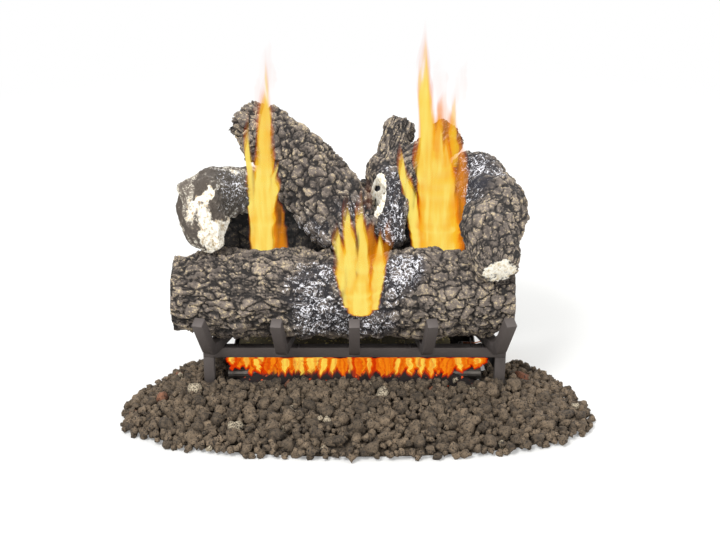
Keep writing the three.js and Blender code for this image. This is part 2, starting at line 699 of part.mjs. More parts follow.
function addBurner() {
  const burner = new THREE.Group();
  set.add(burner);
  const { left, right, front, rear } = panWalls();
  const inside = block(
    [left + SHEET, front + SHEET, SHEET],
    [right - SHEET, rear - SHEET, PAN_HEIGHT + OVERRUN],
  );
  const rearTubeStart = [right - OVERRUN / 2, PAN_REACH, TUBE_LEVEL];
  const rearTubeHole = rod(TUBE_RADIUS + FIT_GAP, OVERRUN, "+X", rearTubeStart);
  const crossHole = rod(CROSS_TUBE_RADIUS + FIT_GAP, OVERRUN, "+Y", [0, front - OVERRUN / 2, TUBE_LEVEL]);
  const pan = block([left, front, 0], [right, rear, PAN_HEIGHT]);
  add(burner, "burner_pan", cut(pan, [inside, rearTubeHole, crossHole, ...screwHoles()]), burnerSteel);

  const bore = TUBE_RADIUS - TUBE_WALL;
  const rearStart = left + TUBE_END_SPACE;
  const rearLength = right + TUBE_STUB - rearStart;
  const rearTube = pipe(TUBE_RADIUS, bore, rearLength, "+X", [rearStart, PAN_REACH, TUBE_LEVEL]);
  const crossMouth = crossBore(CROSS_TUBE_RADIUS - TUBE_WALL, 0);
  const rearPorts = ports(REAR_PORTS, rearStart, right - TUBE_END_SPACE, PAN_REACH, false);
  add(burner, "rear_burner_tube", cut(rearTube, [crossMouth, ...rearPorts]), burnerSteel);
  const capStart = [rearStart - FIT_GAP, PAN_REACH, TUBE_LEVEL];
  add(burner, "rear_tube_cap", rod(TUBE_RADIUS, CAP_THICKNESS, "-X", capStart), burnerSteel);

  const half = frontTubeLength / 2;
  const y = -FRONT_TUBE_REACH;
  const frontTube = pipe(TUBE_RADIUS, bore, frontTubeLength, "+X", [-half, y, TUBE_LEVEL]);
  const frontPorts = ports(FRONT_PORTS, -half, half, y, true);
  add(burner, "front_burner_tube", cut(frontTube, [crossMouth, ...frontPorts]), burnerSteel);
  for (const [side, axis, sign] of [["left", "-X", -1], ["right", "+X", 1]]) {
    const cap = rod(TUBE_RADIUS, CAP_THICKNESS, axis, [sign * (half + FIT_GAP), y, TUBE_LEVEL]);
    add(burner, `front_tube_${side}_cap`, cap, burnerSteel);
  }

  const crossStart = y + TUBE_RADIUS + FIT_GAP;
  const crossLength = PAN_REACH - TUBE_RADIUS - FIT_GAP - crossStart;
  const crossWall = CROSS_TUBE_RADIUS - TUBE_WALL;
  const crossTube = pipe(CROSS_TUBE_RADIUS, crossWall, crossLength, "+Y", [0, crossStart, TUBE_LEVEL]);
  add(burner, "cross_tube", crossTube, burnerSteel);

  for (const [side, x] of saddlePlaces()) {
    add(burner, `${side}_tube_saddle`, cut(saddle(x), screwHoles()), burnerSteel);
  }
  for (const { name, axis, at } of wallScrews()) add(burner, name, screw(axis, at), burnerSteel);
  add(burner, "rear_ember_bed", rearEmbers(), emberGrain);
  add(burner, "front_ember_bed", frontEmbers(), glowingEmber);
}

// A bent strip that carries the front tube: up the pan's wall, under the tube and up in front of it.
function saddle(x) {
  const wall = panWalls().front;
  const lipFace = -FRONT_TUBE_REACH - TUBE_RADIUS - FIT_GAP;
  const outline = new THREE.Shape();
  outline.moveTo(wall, saddleFoot);
  outline.lineTo(wall, saddleFoot + SADDLE_UPRIGHT);
  outline.lineTo(wall - SHEET, saddleFoot + SADDLE_UPRIGHT);
  outline.lineTo(wall - SHEET, saddleFoot + SHEET);
  outline.lineTo(lipFace, saddleFoot + SHEET);
  outline.lineTo(lipFace, saddleFoot + SADDLE_LIP);
  outline.lineTo(lipFace - SHEET, saddleFoot + SADDLE_LIP);
  outline.lineTo(lipFace - SHEET, saddleFoot);
  const strip = new THREE.ExtrudeGeometry(outline, { depth: SADDLE_WIDTH, bevelEnabled: false });
  const toYZ = new THREE.Matrix4().makeBasis(
    new THREE.Vector3(0, 1, 0),
    new THREE.Vector3(0, 0, 1),
    new THREE.Vector3(1, 0, 0),
  );
  return strip.applyMatrix4(toYZ).translate(x - SADDLE_WIDTH / 2, 0, 0);
}

// A heap with an upright edge and a nearly flat crown, on a plan that is almost a rectangle.
function heap({ x, y, length, depth, base, edge, crown }) {
  const levels = [
    [1, base],
    [1, edge],
    ...HEAP_RING_SHARES.map((share) => [share, crown - (crown - edge) * share ** 5]),
  ];
  const rings = levels.map(([share, z]) =>
    count(BED_SIDES / 2).map((side) => {
      const angle = (4 * Math.PI * side) / BED_SIDES;
      const square = (value) => Math.sign(value) * Math.abs(value) ** HEAP_SQUARENESS;
      const across = (share * length * square(Math.cos(angle))) / 2;
      const deep = (share * depth * square(Math.sin(angle))) / 2;
      return new THREE.Vector3(x + across, y + deep, z);
    }),
  );
  return skin(rings);
}

function tunnel(y) {
  return rod(TUBE_RADIUS + CARVE_GAP, 2 * PAN_LENGTH, "+X", [-PAN_LENGTH, y, TUBE_LEVEL]);
}

function rearEmbers() {
  const { left, right } = panWalls();
  const start = left + SHEET + REAR_EMBER_MARGIN;
  const length = right - SHEET - PILOT_SPACE - start;
  const pile = heap({
    x: start + length / 2,
    y: PAN_REACH,
    length,
    depth: PAN_DEPTH - 2 * (SHEET + REAR_EMBER_MARGIN),
    base: SHEET + FIT_GAP,
    edge: REAR_EMBER_EDGE,
    crown: REAR_EMBER_CROWN,
  });
  return cut(pile, [tunnel(PAN_REACH), crossBore(CROSS_TUBE_RADIUS + CARVE_GAP, 0)]);
}

const frontEmberMiddle =
  PAN_REACH - PAN_DEPTH / 2 - SHEET - SCREW_HEAD_HEIGHT - 2 * POCKET_GAP - FRONT_EMBER_DEPTH / 2;

function frontEmbers() {
  const pile = heap({
    x: 0,
    y: frontEmberMiddle,
    length: frontTubeLength - 2 * FRONT_EMBER_INSET,
    depth: FRONT_EMBER_DEPTH,
    base: 0,
    edge: FRONT_EMBER_EDGE,
    crown: FRONT_EMBER_CROWN,
  });
  const lipFront = -FRONT_TUBE_REACH - TUBE_RADIUS - 2 * FIT_GAP - SHEET - CARVE_GAP;
  const slots = saddlePlaces().map(([, x]) =>
    block(
      [x - SADDLE_WIDTH / 2 - CARVE_GAP, lipFront, -OVERRUN],
      [x + SADDLE_WIDTH / 2 + CARVE_GAP, 0, saddleFoot + SADDLE_LIP + CARVE_GAP],
    ),
  );
  return cut(pile, [tunnel(-FRONT_TUBE_REACH), crossBore(CROSS_TUBE_RADIUS + CARVE_GAP, 0), ...slots]);
}

// Pilot valve

function valvePlace() {
  const left = panWalls().right + TUBE_STUB + FIT_GAP + FITTING_LENGTH + FIT_GAP;
  return {
    left,
    right: left + VALVE_WIDTH,
    x: left + VALVE_WIDTH / 2,
    front: PAN_REACH - VALVE_DEPTH / 2,
    rear: PAN_REACH + VALVE_DEPTH / 2,
    bottom: TUBE_LEVEL - VALVE_HEIGHT / 2,
    top: TUBE_LEVEL + VALVE_HEIGHT / 2,
  };
}

function addPilotValve() {
  const control = new THREE.Group();
  set.add(control);
  const valve = valvePlace();
  const neckFace = valve.front - NECK_LENGTH;
  const axis = [valve.x, neckFace, TUBE_LEVEL];
  const body = join([
    block([valve.left, valve.front, valve.bottom], [valve.right, valve.rear, valve.top]),
    rod(NECK_RADIUS, NECK_LENGTH + BAR / 2, "+Y", axis),
  ]);
  const sleeveRun = SLEEVE_DEPTH + KNOB_TRAVEL + POCKET_GAP;
  const boreStart = [valve.x, neckFace - OVERRUN, TUBE_LEVEL];
  const sleeveBore = rod(SLEEVE_RADIUS + FIT_GAP, sleeveRun + OVERRUN, "+Y", boreStart);
  add(control, "valve_body", cut(body, [sleeveBore]), brass);

  const fittingStart = [panWalls().right + TUBE_STUB + FIT_GAP, PAN_REACH, TUBE_LEVEL];
  add(control, "orifice_fitting", rod(FITTING_RADIUS, FITTING_LENGTH, "+X", fittingStart, 6), brass);
  const inletStart = [valve.x, valve.rear + FIT_GAP, TUBE_LEVEL];
  const inlet = pipe(INLET_RADIUS, INLET_BORE, INLET_LENGTH, "+Y", inletStart);
  add(control, "gas_inlet_fitting", inlet, brass);
  add(control, "valve_plate", valvePlate(valve), burnerSteel);

  const sleeveFace = neckFace - SLEEVE_PROUD;
  const sleeveLength = SLEEVE_PROUD + SLEEVE_DEPTH;
  const sleeveStart = [valve.x, sleeveFace, TUBE_LEVEL];
  const sleeve = pipe(SLEEVE_RADIUS, STEM_RADIUS + FIT_GAP, sleeveLength, "+Y", sleeveStart);
  add(control, "push_sleeve", sleeve, brass);
  const knobBack = sleeveFace - FIT_GAP;
  const stemIn = KNOB_LENGTH / 2;
  const stemLength = stemIn + FIT_GAP + sleeveLength;
  const stemStart = [valve.x, knobBack - stemIn, TUBE_LEVEL];
  add(control, "valve_stem", rod(STEM_RADIUS, stemLength, "+Y", stemStart), brass);
  add(control, "control_knob", knob(valve.x, knobBack, stemIn), knobPlastic);
}

// A round knob with a raised grip across its face and a blind hole for the stem.
function knob(x, back, stemIn) {
  const face = back - KNOB_LENGTH;
  const edge = KNOB_LENGTH / 5;
  const profile = [
    [0, 0],
    [KNOB_RADIUS, 0],
    [KNOB_RADIUS, KNOB_LENGTH - edge],
    [KNOB_RADIUS - edge, KNOB_LENGTH],
    [0, KNOB_LENGTH],
  ];
  const disc = turned(profile, "-Y", [x, back, TUBE_LEVEL], 2 * SMALL_SIDES);
  const grip = block(
    [x - KNOB_GRIP_WIDTH / 2, face - KNOB_GRIP_HEIGHT, TUBE_LEVEL - KNOB_RADIUS + edge],
    [x + KNOB_GRIP_WIDTH / 2, back - edge, TUBE_LEVEL + KNOB_RADIUS - edge],
  );
  const depth = stemIn + FIT_GAP;
  const hole = rod(STEM_RADIUS + FIT_GAP, depth + OVERRUN, "+Y", [x, back - depth, TUBE_LEVEL], SMALL_SIDES);
  return cut(join([disc, grip]), [hole]);
}

// An angle under the valve, screwed to the pan's right wall.
function valvePlate(valve) {
  const { right } = panWalls();
  const halfWidth = VALVE_PLATE_WIDTH / 2;
  const top = valvePlateLevel + SHEET;
  const foot = valveScrewLevel - SCREW_HEAD_RADIUS + FIT_GAP;
  const [front, rear] = [PAN_REACH - halfWidth, PAN_REACH + halfWidth];
  const shelf = block([right, front, valvePlateLevel], [valve.right, rear, top]);
  const leg = block([right, front, foot], [right + SHEET, rear, top]);
  return cut(join([shelf, leg]), screwHoles());
}

// Pilot

function addPilot() {
  const pilot = new THREE.Group();
  set.add(pilot);
  const plateFace = panWalls().front - SHEET;
  const shelfTop = PILOT_SHELF_LEVEL + SHEET;
  const lineLevel = shelfTop + PILOT_LINE_RISE;
  const halfWidth = PILOT_PLATE_WIDTH / 2;
  const earRight = pilotMiddle + halfWidth;
  const shelfRear = plateFace + PILOT_PLATE_DEPTH;
  const hoodY = plateFace + (PILOT_PLATE_DEPTH - PILOT_LINE_SPACING) / 2;
  const probeY = hoodY + PILOT_LINE_SPACING;
  const hoodX = pilotMiddle - halfWidth / 2;

  const left = pilotMiddle - halfWidth;
  const foot = PILOT_SHELF_LEVEL - PILOT_UPRIGHT;
  const earTop = shelfTop + PILOT_EAR_HEIGHT;
  const bracket = join([
    block([left, plateFace, foot], [earRight, plateFace + SHEET, shelfTop]),
    block([left, plateFace, PILOT_SHELF_LEVEL], [earRight, shelfRear, shelfTop]),
    block([earRight - SHEET, plateFace, PILOT_SHELF_LEVEL], [earRight, shelfRear, earTop]),
  ]);
  const earHoles = [[hoodY, PILOT_TUBE_RADIUS], [probeY, PROBE_RADIUS]].map(([y, radius]) =>
    rod(radius + FIT_GAP, OVERRUN, "+X", [earRight - OVERRUN / 4, y, lineLevel], SMALL_SIDES),
  );
  add(pilot, "pilot_bracket", cut(bracket, [...earHoles, ...screwHoles()]), burnerSteel);

  const hoodProfile = [
    [0, 0],
    [HOOD_RADIUS, 0],
    [HOOD_RADIUS, HOOD_HEIGHT * 0.75],
    [HOOD_RADIUS * 0.6, HOOD_HEIGHT],
    [0, HOOD_HEIGHT],
  ];
  add(pilot, "pilot_hood", turned(hoodProfile, "+Z", [hoodX, hoodY, shelfTop], SMALL_SIDES), burnerSteel);
  const probeEnd = earRight + PROBE_RADIUS;
  const probeProfile = [
    [0, 0],
    [PROBE_RADIUS, 0],
    [PROBE_RADIUS, PROBE_LENGTH - PROBE_RADIUS],
    [PROBE_RADIUS / 2, PROBE_LENGTH],
    [0, PROBE_LENGTH],
  ];
  const probe = turned(probeProfile, "-X", [probeEnd, probeY, lineLevel], SMALL_SIDES);
  add(pilot, "thermocouple_probe", probe, copper);

  const valve = valvePlace();
  const entry = valve.top + FIT_GAP;
  const into = (share) => new THREE.Vector3(valve.x + share * VALVE_WIDTH, PAN_REACH, entry);
  const hoodPort = new THREE.Vector3(hoodX + HOOD_RADIUS + FIT_GAP, hoodY, lineLevel);
  const probePort = new THREE.Vector3(probeEnd + FIT_GAP, probeY, lineLevel);
  const straight = earRight - hoodPort.x;
  const tube = bentLine(hoodPort, into(LINE_PORT_SHARE), PILOT_TUBE_RADIUS, straight);
  const lead = bentLine(probePort, into(-LINE_PORT_SHARE), LEAD_RADIUS, PROBE_RADIUS);
  add(pilot, "pilot_tube", tube, burnerSteel);
  add(pilot, "thermocouple_lead", lead, copper);
}

// A thin line that leaves a port along +X, runs level, and turns straight down into the valve's top.
function bentLine(start, end, radius, straight) {
  const leave = start.clone().add(new THREE.Vector3(straight, 0, 0));
  const over = new THREE.Vector3(end.x, end.y - LINE_BEND, start.z);
  const between = leave.clone().lerp(over, 0.5).add(new THREE.Vector3(LINE_BEND / 4, -LINE_BEND / 4, 0));
  const turn = new THREE.Vector3(end.x, end.y, start.z - LINE_BEND / 2);
  const route = new THREE.CatmullRomCurve3([start, leave, between, over, turn, end]);
  const section = new THREE.Shape();
  section.absarc(0, 0, radius, 0, 2 * Math.PI, false);
  return new THREE.ExtrudeGeometry(section, { steps: LINE_STEPS, extrudePath: route, curveSegments: 8 });
}

// Rim of the rock bed at an angle: fuller in front than an ellipse.
function bedRim(angle) {
  const front = Math.sin(angle) < 0;
  const power = front ? BED_FRONT_SQUARENESS : 1;
  const bend = (value) => Math.sign(value) * Math.abs(value) ** power;
  const depth = front ? BED_FRONT_DEPTH : BED_REAR_DEPTH;
  return new THREE.Vector2((bend(Math.cos(angle)) * BED_LENGTH) / 2, bend(Math.sin(angle)) * depth);
}

function bedLevel(share) {
  return BED_EDGE + (BED_LEVEL - BED_EDGE) * (1 - share ** 3);
}

// Openings in the bed for the burner, the valve with its knob, and the front legs, each as the least
// and the greatest x and y.
function bedPockets() {
  const valve = valvePlace();
  const half = BAR / 2 + CARVE_GAP;
  const burnerHalf = frontTubeLength / 2 + CAP_THICKNESS + 2 * POCKET_GAP;
  const emberFront = frontEmberMiddle - FRONT_EMBER_DEPTH / 2 - POCKET_GAP;
  const knobReach = NECK_LENGTH + SLEEVE_PROUD + KNOB_LENGTH + KNOB_GRIP_HEIGHT;
  const knobFront = valve.front - knobReach - 2 * POCKET_GAP;
  const legs = [-1, 1].map((sign) => {
    const x = sign * (frontRailLength / 2 - BAR / 2);
    const y = -FRONT_RAIL_REACH;
    return [x - half, y - half, x + half, y + half];
  });
  return [
    [-burnerHalf, emberFront, burnerHalf, BED_REAR_DEPTH],
    [0, knobFront, valve.right + 2 * POCKET_GAP, BED_REAR_DEPTH],
    ...legs,
  ];
}

// Main stones on the bed, on a sunflower spiral: each turns by the golden angle. Where a stone would
// reach into an opening it is left out.
function mainStones(pockets) {
  const goldenAngle = Math.PI * (3 - Math.sqrt(5));
  const room = STONE_RADIUS + STONE_MARGIN;
  const clear = (x, y) =>
    pockets.every(([x0, y0, x1, y1]) => x < x0 - room || x > x1 + room || y < y0 - room || y > y1 + room);
  return count(STONES).flatMap((stone) => {
    const share = STONE_REACH_SHARE * Math.sqrt((stone + 0.5) / STONES);
    const angle = stone * goldenAngle;
    const rim = bedRim(angle);
    const [x, y] = [BED_SHIFT + share * rim.x, -BED_FORWARD_SHIFT + share * rim.y];
    if (!clear(x, y)) return [];
    const shape = new THREE.IcosahedronGeometry(STONE_RADIUS).scale(...STONE_SCALE_SHARES);
    return [shape.rotateZ(angle).translate(x, y, bedLevel(share) - STONE_SINK)];
  });
}

// Bed of lava rock: low, with its main stones standing out of it.
function addBed() {
  const levels = [[1, 0], [1, BED_EDGE], ...BED_RING_SHARES.map((share) => [share, null])];
  const rings = levels.map(([share, fixed], ring) =>
    count(BED_SIDES).map((side) => {
      const angle = (2 * Math.PI * side) / BED_SIDES;
      const rim = bedRim(angle);
      const lump = BED_LUMP * Math.sin(5 * angle + 2 * ring) * Math.sin(3 * angle - ring);
      const level = fixed ?? bedLevel(share) + lump;
      return new THREE.Vector3(BED_SHIFT + share * rim.x, -BED_FORWARD_SHIFT + share * rim.y, level);
    }),
  );
  const pockets = bedPockets();
  const above = BED_LEVEL + OVERRUN;
  const cutters = pockets.map(([x0, y0, x1, y1]) => block([x0, y0, -OVERRUN], [x1, y1, above]));
  const heap = join([skin(rings), ...mainStones(pockets)]);
  add(set, "lava_rock_bed", cut(heap, cutters), lavaRock);
}

// Assembly

addGrate();
addLogs();
addBurner();
addPilotValve();
addPilot();
addBed();

const bounds = new THREE.Box3().setFromObject(set);
const middle = bounds.getCenter(new THREE.Vector3());
set.position.set(-middle.x, -middle.y, -bounds.min.z);
const part = new THREE.Group();
part.add(set);

export default part;
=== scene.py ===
"""Looks of a vented gas log set: cast logs with bark, a welded grate, a burner, embers and lava rock.

Lengths are in metres, apart from those that a docstring gives in millimetres, which MM converts.
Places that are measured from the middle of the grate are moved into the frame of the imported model
by Layout. Shapes are grids of points worked out by formula.
"""

import json
import logging
import math
from dataclasses import dataclass
from enum import Enum
from typing import Any

import bmesh
import bpy
import numpy as np
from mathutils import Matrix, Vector

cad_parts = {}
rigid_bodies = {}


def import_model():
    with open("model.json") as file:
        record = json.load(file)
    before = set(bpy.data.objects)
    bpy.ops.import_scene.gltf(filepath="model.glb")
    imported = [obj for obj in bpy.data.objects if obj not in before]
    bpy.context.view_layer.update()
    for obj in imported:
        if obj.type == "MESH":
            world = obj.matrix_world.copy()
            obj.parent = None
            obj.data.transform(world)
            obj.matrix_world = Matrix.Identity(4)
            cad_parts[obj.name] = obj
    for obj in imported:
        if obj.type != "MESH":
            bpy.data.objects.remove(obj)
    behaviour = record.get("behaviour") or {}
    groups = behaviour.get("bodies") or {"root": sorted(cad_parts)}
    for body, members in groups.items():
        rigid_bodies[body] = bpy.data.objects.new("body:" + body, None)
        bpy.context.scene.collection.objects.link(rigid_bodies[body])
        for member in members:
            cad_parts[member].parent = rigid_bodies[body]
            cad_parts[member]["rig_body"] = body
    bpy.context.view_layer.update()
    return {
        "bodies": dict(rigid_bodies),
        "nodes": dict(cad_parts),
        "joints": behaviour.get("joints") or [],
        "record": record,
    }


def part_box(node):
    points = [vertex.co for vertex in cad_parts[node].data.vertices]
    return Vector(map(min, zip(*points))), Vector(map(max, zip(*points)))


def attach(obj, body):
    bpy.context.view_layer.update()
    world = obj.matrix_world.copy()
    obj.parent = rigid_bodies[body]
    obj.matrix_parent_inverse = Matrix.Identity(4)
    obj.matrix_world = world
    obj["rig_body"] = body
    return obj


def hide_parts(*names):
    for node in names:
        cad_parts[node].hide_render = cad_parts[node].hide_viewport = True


log = logging.getLogger("gas_log_set")

Array = np.ndarray
Material = bpy.types.Material
Triple = tuple[float, float, float]
MM = 0.001
TAU = 2 * math.pi

# Layout of the logs and the front rail, measured from the middle of the grate.
FRONT_Y = -0.086
REAR_Y = 0.098
HALF_FRONT_LENGTH = 0.299
LOG_SEAT = 0.1083
FRONT_TOP = 0.2683
REAR_TOP = 0.3323
LOG_FLAT = 0.006
FRONT_RAIL_Y = -0.1


# Numbers


def smoothstep(low: float | Array, high: float | Array, value: Array) -> Array:
    """Eased step from 0 at low to 1 at high: 3x^2 - 2x^3."""
    x = np.clip((value - low) / (high - low), 0.0, 1.0)
    return x * x * (3 - 2 * x)


def unit(vectors: Array) -> Array:
    """The vectors at length one."""
    return vectors / np.maximum(np.linalg.norm(vectors, axis=-1, keepdims=True), 1e-12)


def share_at(shares: tuple[float, ...], place: Array) -> Array:
    """Reads a row of evenly spaced shares, eased between its entries.

    Args:
        shares: the row.
        place: where to read it, from 0 at its start to 1 at its end.

    Returns:
        The share at each place.
    """
    table = np.asarray(shares, float)
    at = np.clip(place, 0, 1) * (len(table) - 1)
    low = np.minimum(at.astype(int), len(table) - 2)
    ease = smoothstep(0.0, 1.0, at - low)
    return table[low] * (1 - ease) + table[low + 1] * ease


def lattice_random(cells: Array, seed: int) -> Array:
    """Repeatable random number from 0 to 1 for each whole-number cell.

    Args:
        cells: whole numbers, shape (..., 3).
        seed: which set of numbers to give.

    Returns:
        Numbers of shape (...). The three indices are mixed by multiplying with large odd numbers
        and folding the high bits onto the low ones.
    """
    c = cells.astype(np.int64).astype(np.uint32)
    h = c[..., 0] * np.uint32(73856093) ^ c[..., 1] * np.uint32(19349663)
    h ^= c[..., 2] * np.uint32(83492791) ^ np.uint32((seed * 2654435761) % 2**32)
    h = (h ^ (h >> np.uint32(16))) * np.uint32(0x7FEB352D)
    h = (h ^ (h >> np.uint32(15))) * np.uint32(0x846CA68B)
    return ((h ^ (h >> np.uint32(16))) & np.uint32(0xFFFFFF)) / float(0xFFFFFF)


def value_noise(points: Array, seed: int) -> Array:
    """Smooth noise: lattice values blended with smoothstep weights.

    Args:
        points: where to read it, in lattice units, shape (..., 3).
        seed: which noise to give.

    Returns:
        Numbers from -1 to 1, shape (...).
    """
    base = np.floor(points)
    w = points - base
    w = w * w * (3 - 2 * w)
    total = np.zeros(points.shape[:-1])
    for corner in np.ndindex(2, 2, 2):
        step = np.array(corner)
        weight = np.prod(np.where(step, w, 1 - w), axis=-1)
        total += weight * lattice_random(base + step, seed)
    return 2 * total - 1


def fbm(points: Array, octaves: int, seed: int) -> Array:
    """Sum of octaves of value noise, each half as high and twice as fine, from about -1 to 1."""
    parts = [value_noise(points * 2**k, seed + 11 * k) * 0.5**k for k in range(octaves)]
    return sum(parts) / (2 - 0.5 ** (octaves - 1))


def ridged(points: Array, octaves: int, seed: int) -> Array:
    """Noise with sharp crests, from 0 in the valleys to 1 on the crests: 1 - |fbm|, sharpened."""
    return np.clip(1 - 2.2 * np.abs(fbm(points, octaves, seed)), 0, 1)


@dataclass(frozen=True)
class Cells:
    """A cell pattern at each point: distances to the two nearest seeds, and the cell's own data."""

    first: Array
    second: Array
    key: Array
    offset: Array

    def random(self, seed: int) -> Array:
        """Random number from 0 to 1 of each point's cell."""
        return lattice_random(self.key, seed)


def cell_pattern(points: Array, seed: int, jitter: float = 0.95) -> Cells:
    """Cells round jittered lattice seeds.

    Args:
        points: points in cell units, shape (..., 3).
        seed: which jitter to use.
        jitter: the share of its lattice cell, round the middle, in which a seed may lie.

    Returns:
        For each point the distance to the nearest seed and to the next one, and for the nearest
        seed its lattice cell and the offset from it.
    """
    base = np.floor(points)
    first = np.full(points.shape[:-1], 9.0)
    second = np.full(points.shape[:-1], 9.0)
    key = np.zeros(points.shape)
    offset = np.zeros(points.shape)
    for step in np.ndindex(3, 3, 3):
        cell = base + np.array(step) - 1
        shift = np.stack([lattice_random(cell, seed + 101 * axis) for axis in range(3)], -1)
        gap = points - (cell + 0.5 + (shift - 0.5) * jitter)
        distance = np.linalg.norm(gap, axis=-1)
        nearer = distance < first
        second = np.where(nearer, first, np.minimum(second, distance))
        key = np.where(nearer[..., None], cell, key)
        offset = np.where(nearer[..., None], gap, offset)
        first = np.where(nearer, distance, first)
    return Cells(first, second, key, offset)


# Meshes


def add_object(name: str, data: bpy.types.ID) -> bpy.types.Object:
    """Adds an object to the scene.

    Args:
        name: its name.
        data: its mesh, light or camera.

    Returns:
        The object, at the origin.
    """
    made = bpy.data.objects.new(name, data)
    bpy.context.scene.collection.objects.link(made)
    return made


def dress(mesh: bpy.types.Mesh, material: Material) -> None:
    """Gives a mesh this material and no other."""
    mesh.materials.clear()
    mesh.materials.append(material)


def make_mesh(name: str, points: Array, faces: list[Array], smooth: bool = True) -> bpy.types.Object:
    """A mesh object at the origin from arrays.

    Args:
        name: the object's name.
        points: corners, shape (n, 3).
        faces: index arrays, each of shape (count, corners of a face).
        smooth: whether its faces are shaded smooth.

    Returns:
        The new object, linked to the scene.
    """
    mesh = bpy.data.meshes.new(name)
    loops = np.concatenate([f.ravel() for f in faces])
    sizes = np.concatenate([np.full(len(f), f.shape[1]) for f in faces])
    starts = np.concatenate([[0], np.cumsum(sizes)[:-1]])
    mesh.vertices.add(len(points))
    mesh.vertices.foreach_set("co", np.ascontiguousarray(points, np.float32).ravel())
    mesh.loops.add(len(loops))
    mesh.loops.foreach_set("vertex_index", loops.astype(np.int32))
    mesh.polygons.add(len(sizes))
    mesh.polygons.foreach_set("loop_start", starts.astype(np.int32))
    mesh.update(calc_edges=True)
    mesh.validate()
    if smooth:
        mesh.shade_smooth()
    return add_object(name, mesh)


def set_attributes(made: bpy.types.Object, values: dict[str, Array]) -> None:
    """Stores numbers per corner point, which the materials read by name.

    Args:
        made: the object.
        values: a number for each point, under the name that the material reads.
    """
    for name, value in values.items():
        attribute = made.data.attributes.new(name, "FLOAT", "POINT")
        attribute.data.foreach_set("value", np.ascontiguousarray(value, np.float32).ravel())


def ring_faces(rings: int, sides: int) -> Array:
    """Four-cornered faces between rings of points that close on themselves.

    Args:
        rings: how many rings follow each other.
        sides: how many points a ring has.

    Returns:
        Point numbers, shape (count, 4).
    """
    ring, side = np.meshgrid(np.arange(rings - 1), np.arange(sides), indexing="ij")
    here = ring * sides + side
    along = ring * sides + (side + 1) % sides
    return np.stack([here, along, along + sides, here + sides], -1).reshape(-1, 4)


def capped_faces(rings: int, sides: int) -> list[Array]:
    """Faces of rings of points that are followed by one point for each end.

    Args:
        rings: how many rings follow each other.
        sides: how many points a ring has.

    Returns:
        Point numbers of the faces between the rings, and of the fans over both ends.
    """
    side = np.arange(sides)
    after = (side + 1) % sides
    last = (rings - 1) * sides
    start = np.full(sides, rings * sides)
    fans = [np.stack([start, after, side], -1), np.stack([start + 1, last + side, last + after], -1)]
    return [ring_faces(rings, sides), np.concatenate(fans)]


def ball(subdivisions: int) -> tuple[Array, Array]:
    """A ball of radius one, from a bmesh icosphere.

    Args:
        subdivisions: how often its twenty faces are divided.

    Returns:
        Its points and its three-cornered faces.
    """
    shape = bmesh.new()
    bmesh.ops.create_icosphere(shape, subdivisions=subdivisions, radius=1.0)
    points = np.array([v.co[:] for v in shape.verts])
    faces = np.array([[v.index for v in f.verts] for f in shape.faces])
    shape.free()
    return points, faces


# Materials


def srgb(code: str) -> tuple[float, float, float, float]:
    """Linear colour of a screen colour.

    Args:
        code: six hexadecimal digits.

    Returns:
        Red, green and blue, and an opacity of one.
    """
    values = [int(code[i : i + 2], 16) / 255 for i in (0, 2, 4)]
    linear = [v / 12.92 if v <= 0.04045 else ((v + 0.055) / 1.055) ** 2.4 for v in values]
    return (*linear, 1.0)


class Shader:
    """The nodes of one material, or of the world."""

    def __init__(self, name: str, world: bool = False) -> None:
        """Starts an empty material or world.

        Args:
            name: its name.
            world: whether it is a world.
        """
        self.kind = "World" if world else "Material"
        self.owner = (bpy.data.worlds if world else bpy.data.materials).new(name)
        self.owner.use_nodes = True
        self.tree = self.owner.node_tree
        self.tree.nodes.clear()

    def add(
        self, kind: str, inputs: dict | None = None, output: int | str = 0, **settings: Any
    ) -> bpy.types.NodeSocket | None:
        """Adds a node.

        Args:
            kind: the node's type name without "ShaderNode".
            inputs: socket name or number to a constant, or to a socket that is linked to it.
            output: which output to give back.
            settings: properties of the node itself.

        Returns:
            That output, or nothing for a node that has none.
        """
        made = self.tree.nodes.new(f"ShaderNode{kind}")
        for name, value in settings.items():
            setattr(made, name, value)
        for key, value in (inputs or {}).items():
            if isinstance(value, bpy.types.NodeSocket):
                self.tree.links.new(value, made.inputs[key])
            else:
                made.inputs[key].default_value = value
        return made.outputs[output] if made.outputs else None

    def background_rays(self) -> bpy.types.NodeSocket:
        """Tells rays that should meet the white background from those that bring light.

        Returns:
            1 for rays of the camera, of reflections and through clear things, and 0 for others.
        """
        kinds = ("Camera", "Glossy", "Transmission")
        camera, glossy, clear = (self.add("LightPath", output=f"Is {kind} Ray") for kind in kinds)
        seen = self.add("Math", {0: camera, 1: glossy}, operation="ADD")
        return self.add("Math", {0: seen, 1: clear}, operation="ADD", use_clamp=True)

    def close(self, **sockets: bpy.types.NodeSocket) -> Material | bpy.types.World:
        """Leads the last shaders into the output and gives the material or world."""
        self.add(f"Output{self.kind}", sockets)
        return self.owner


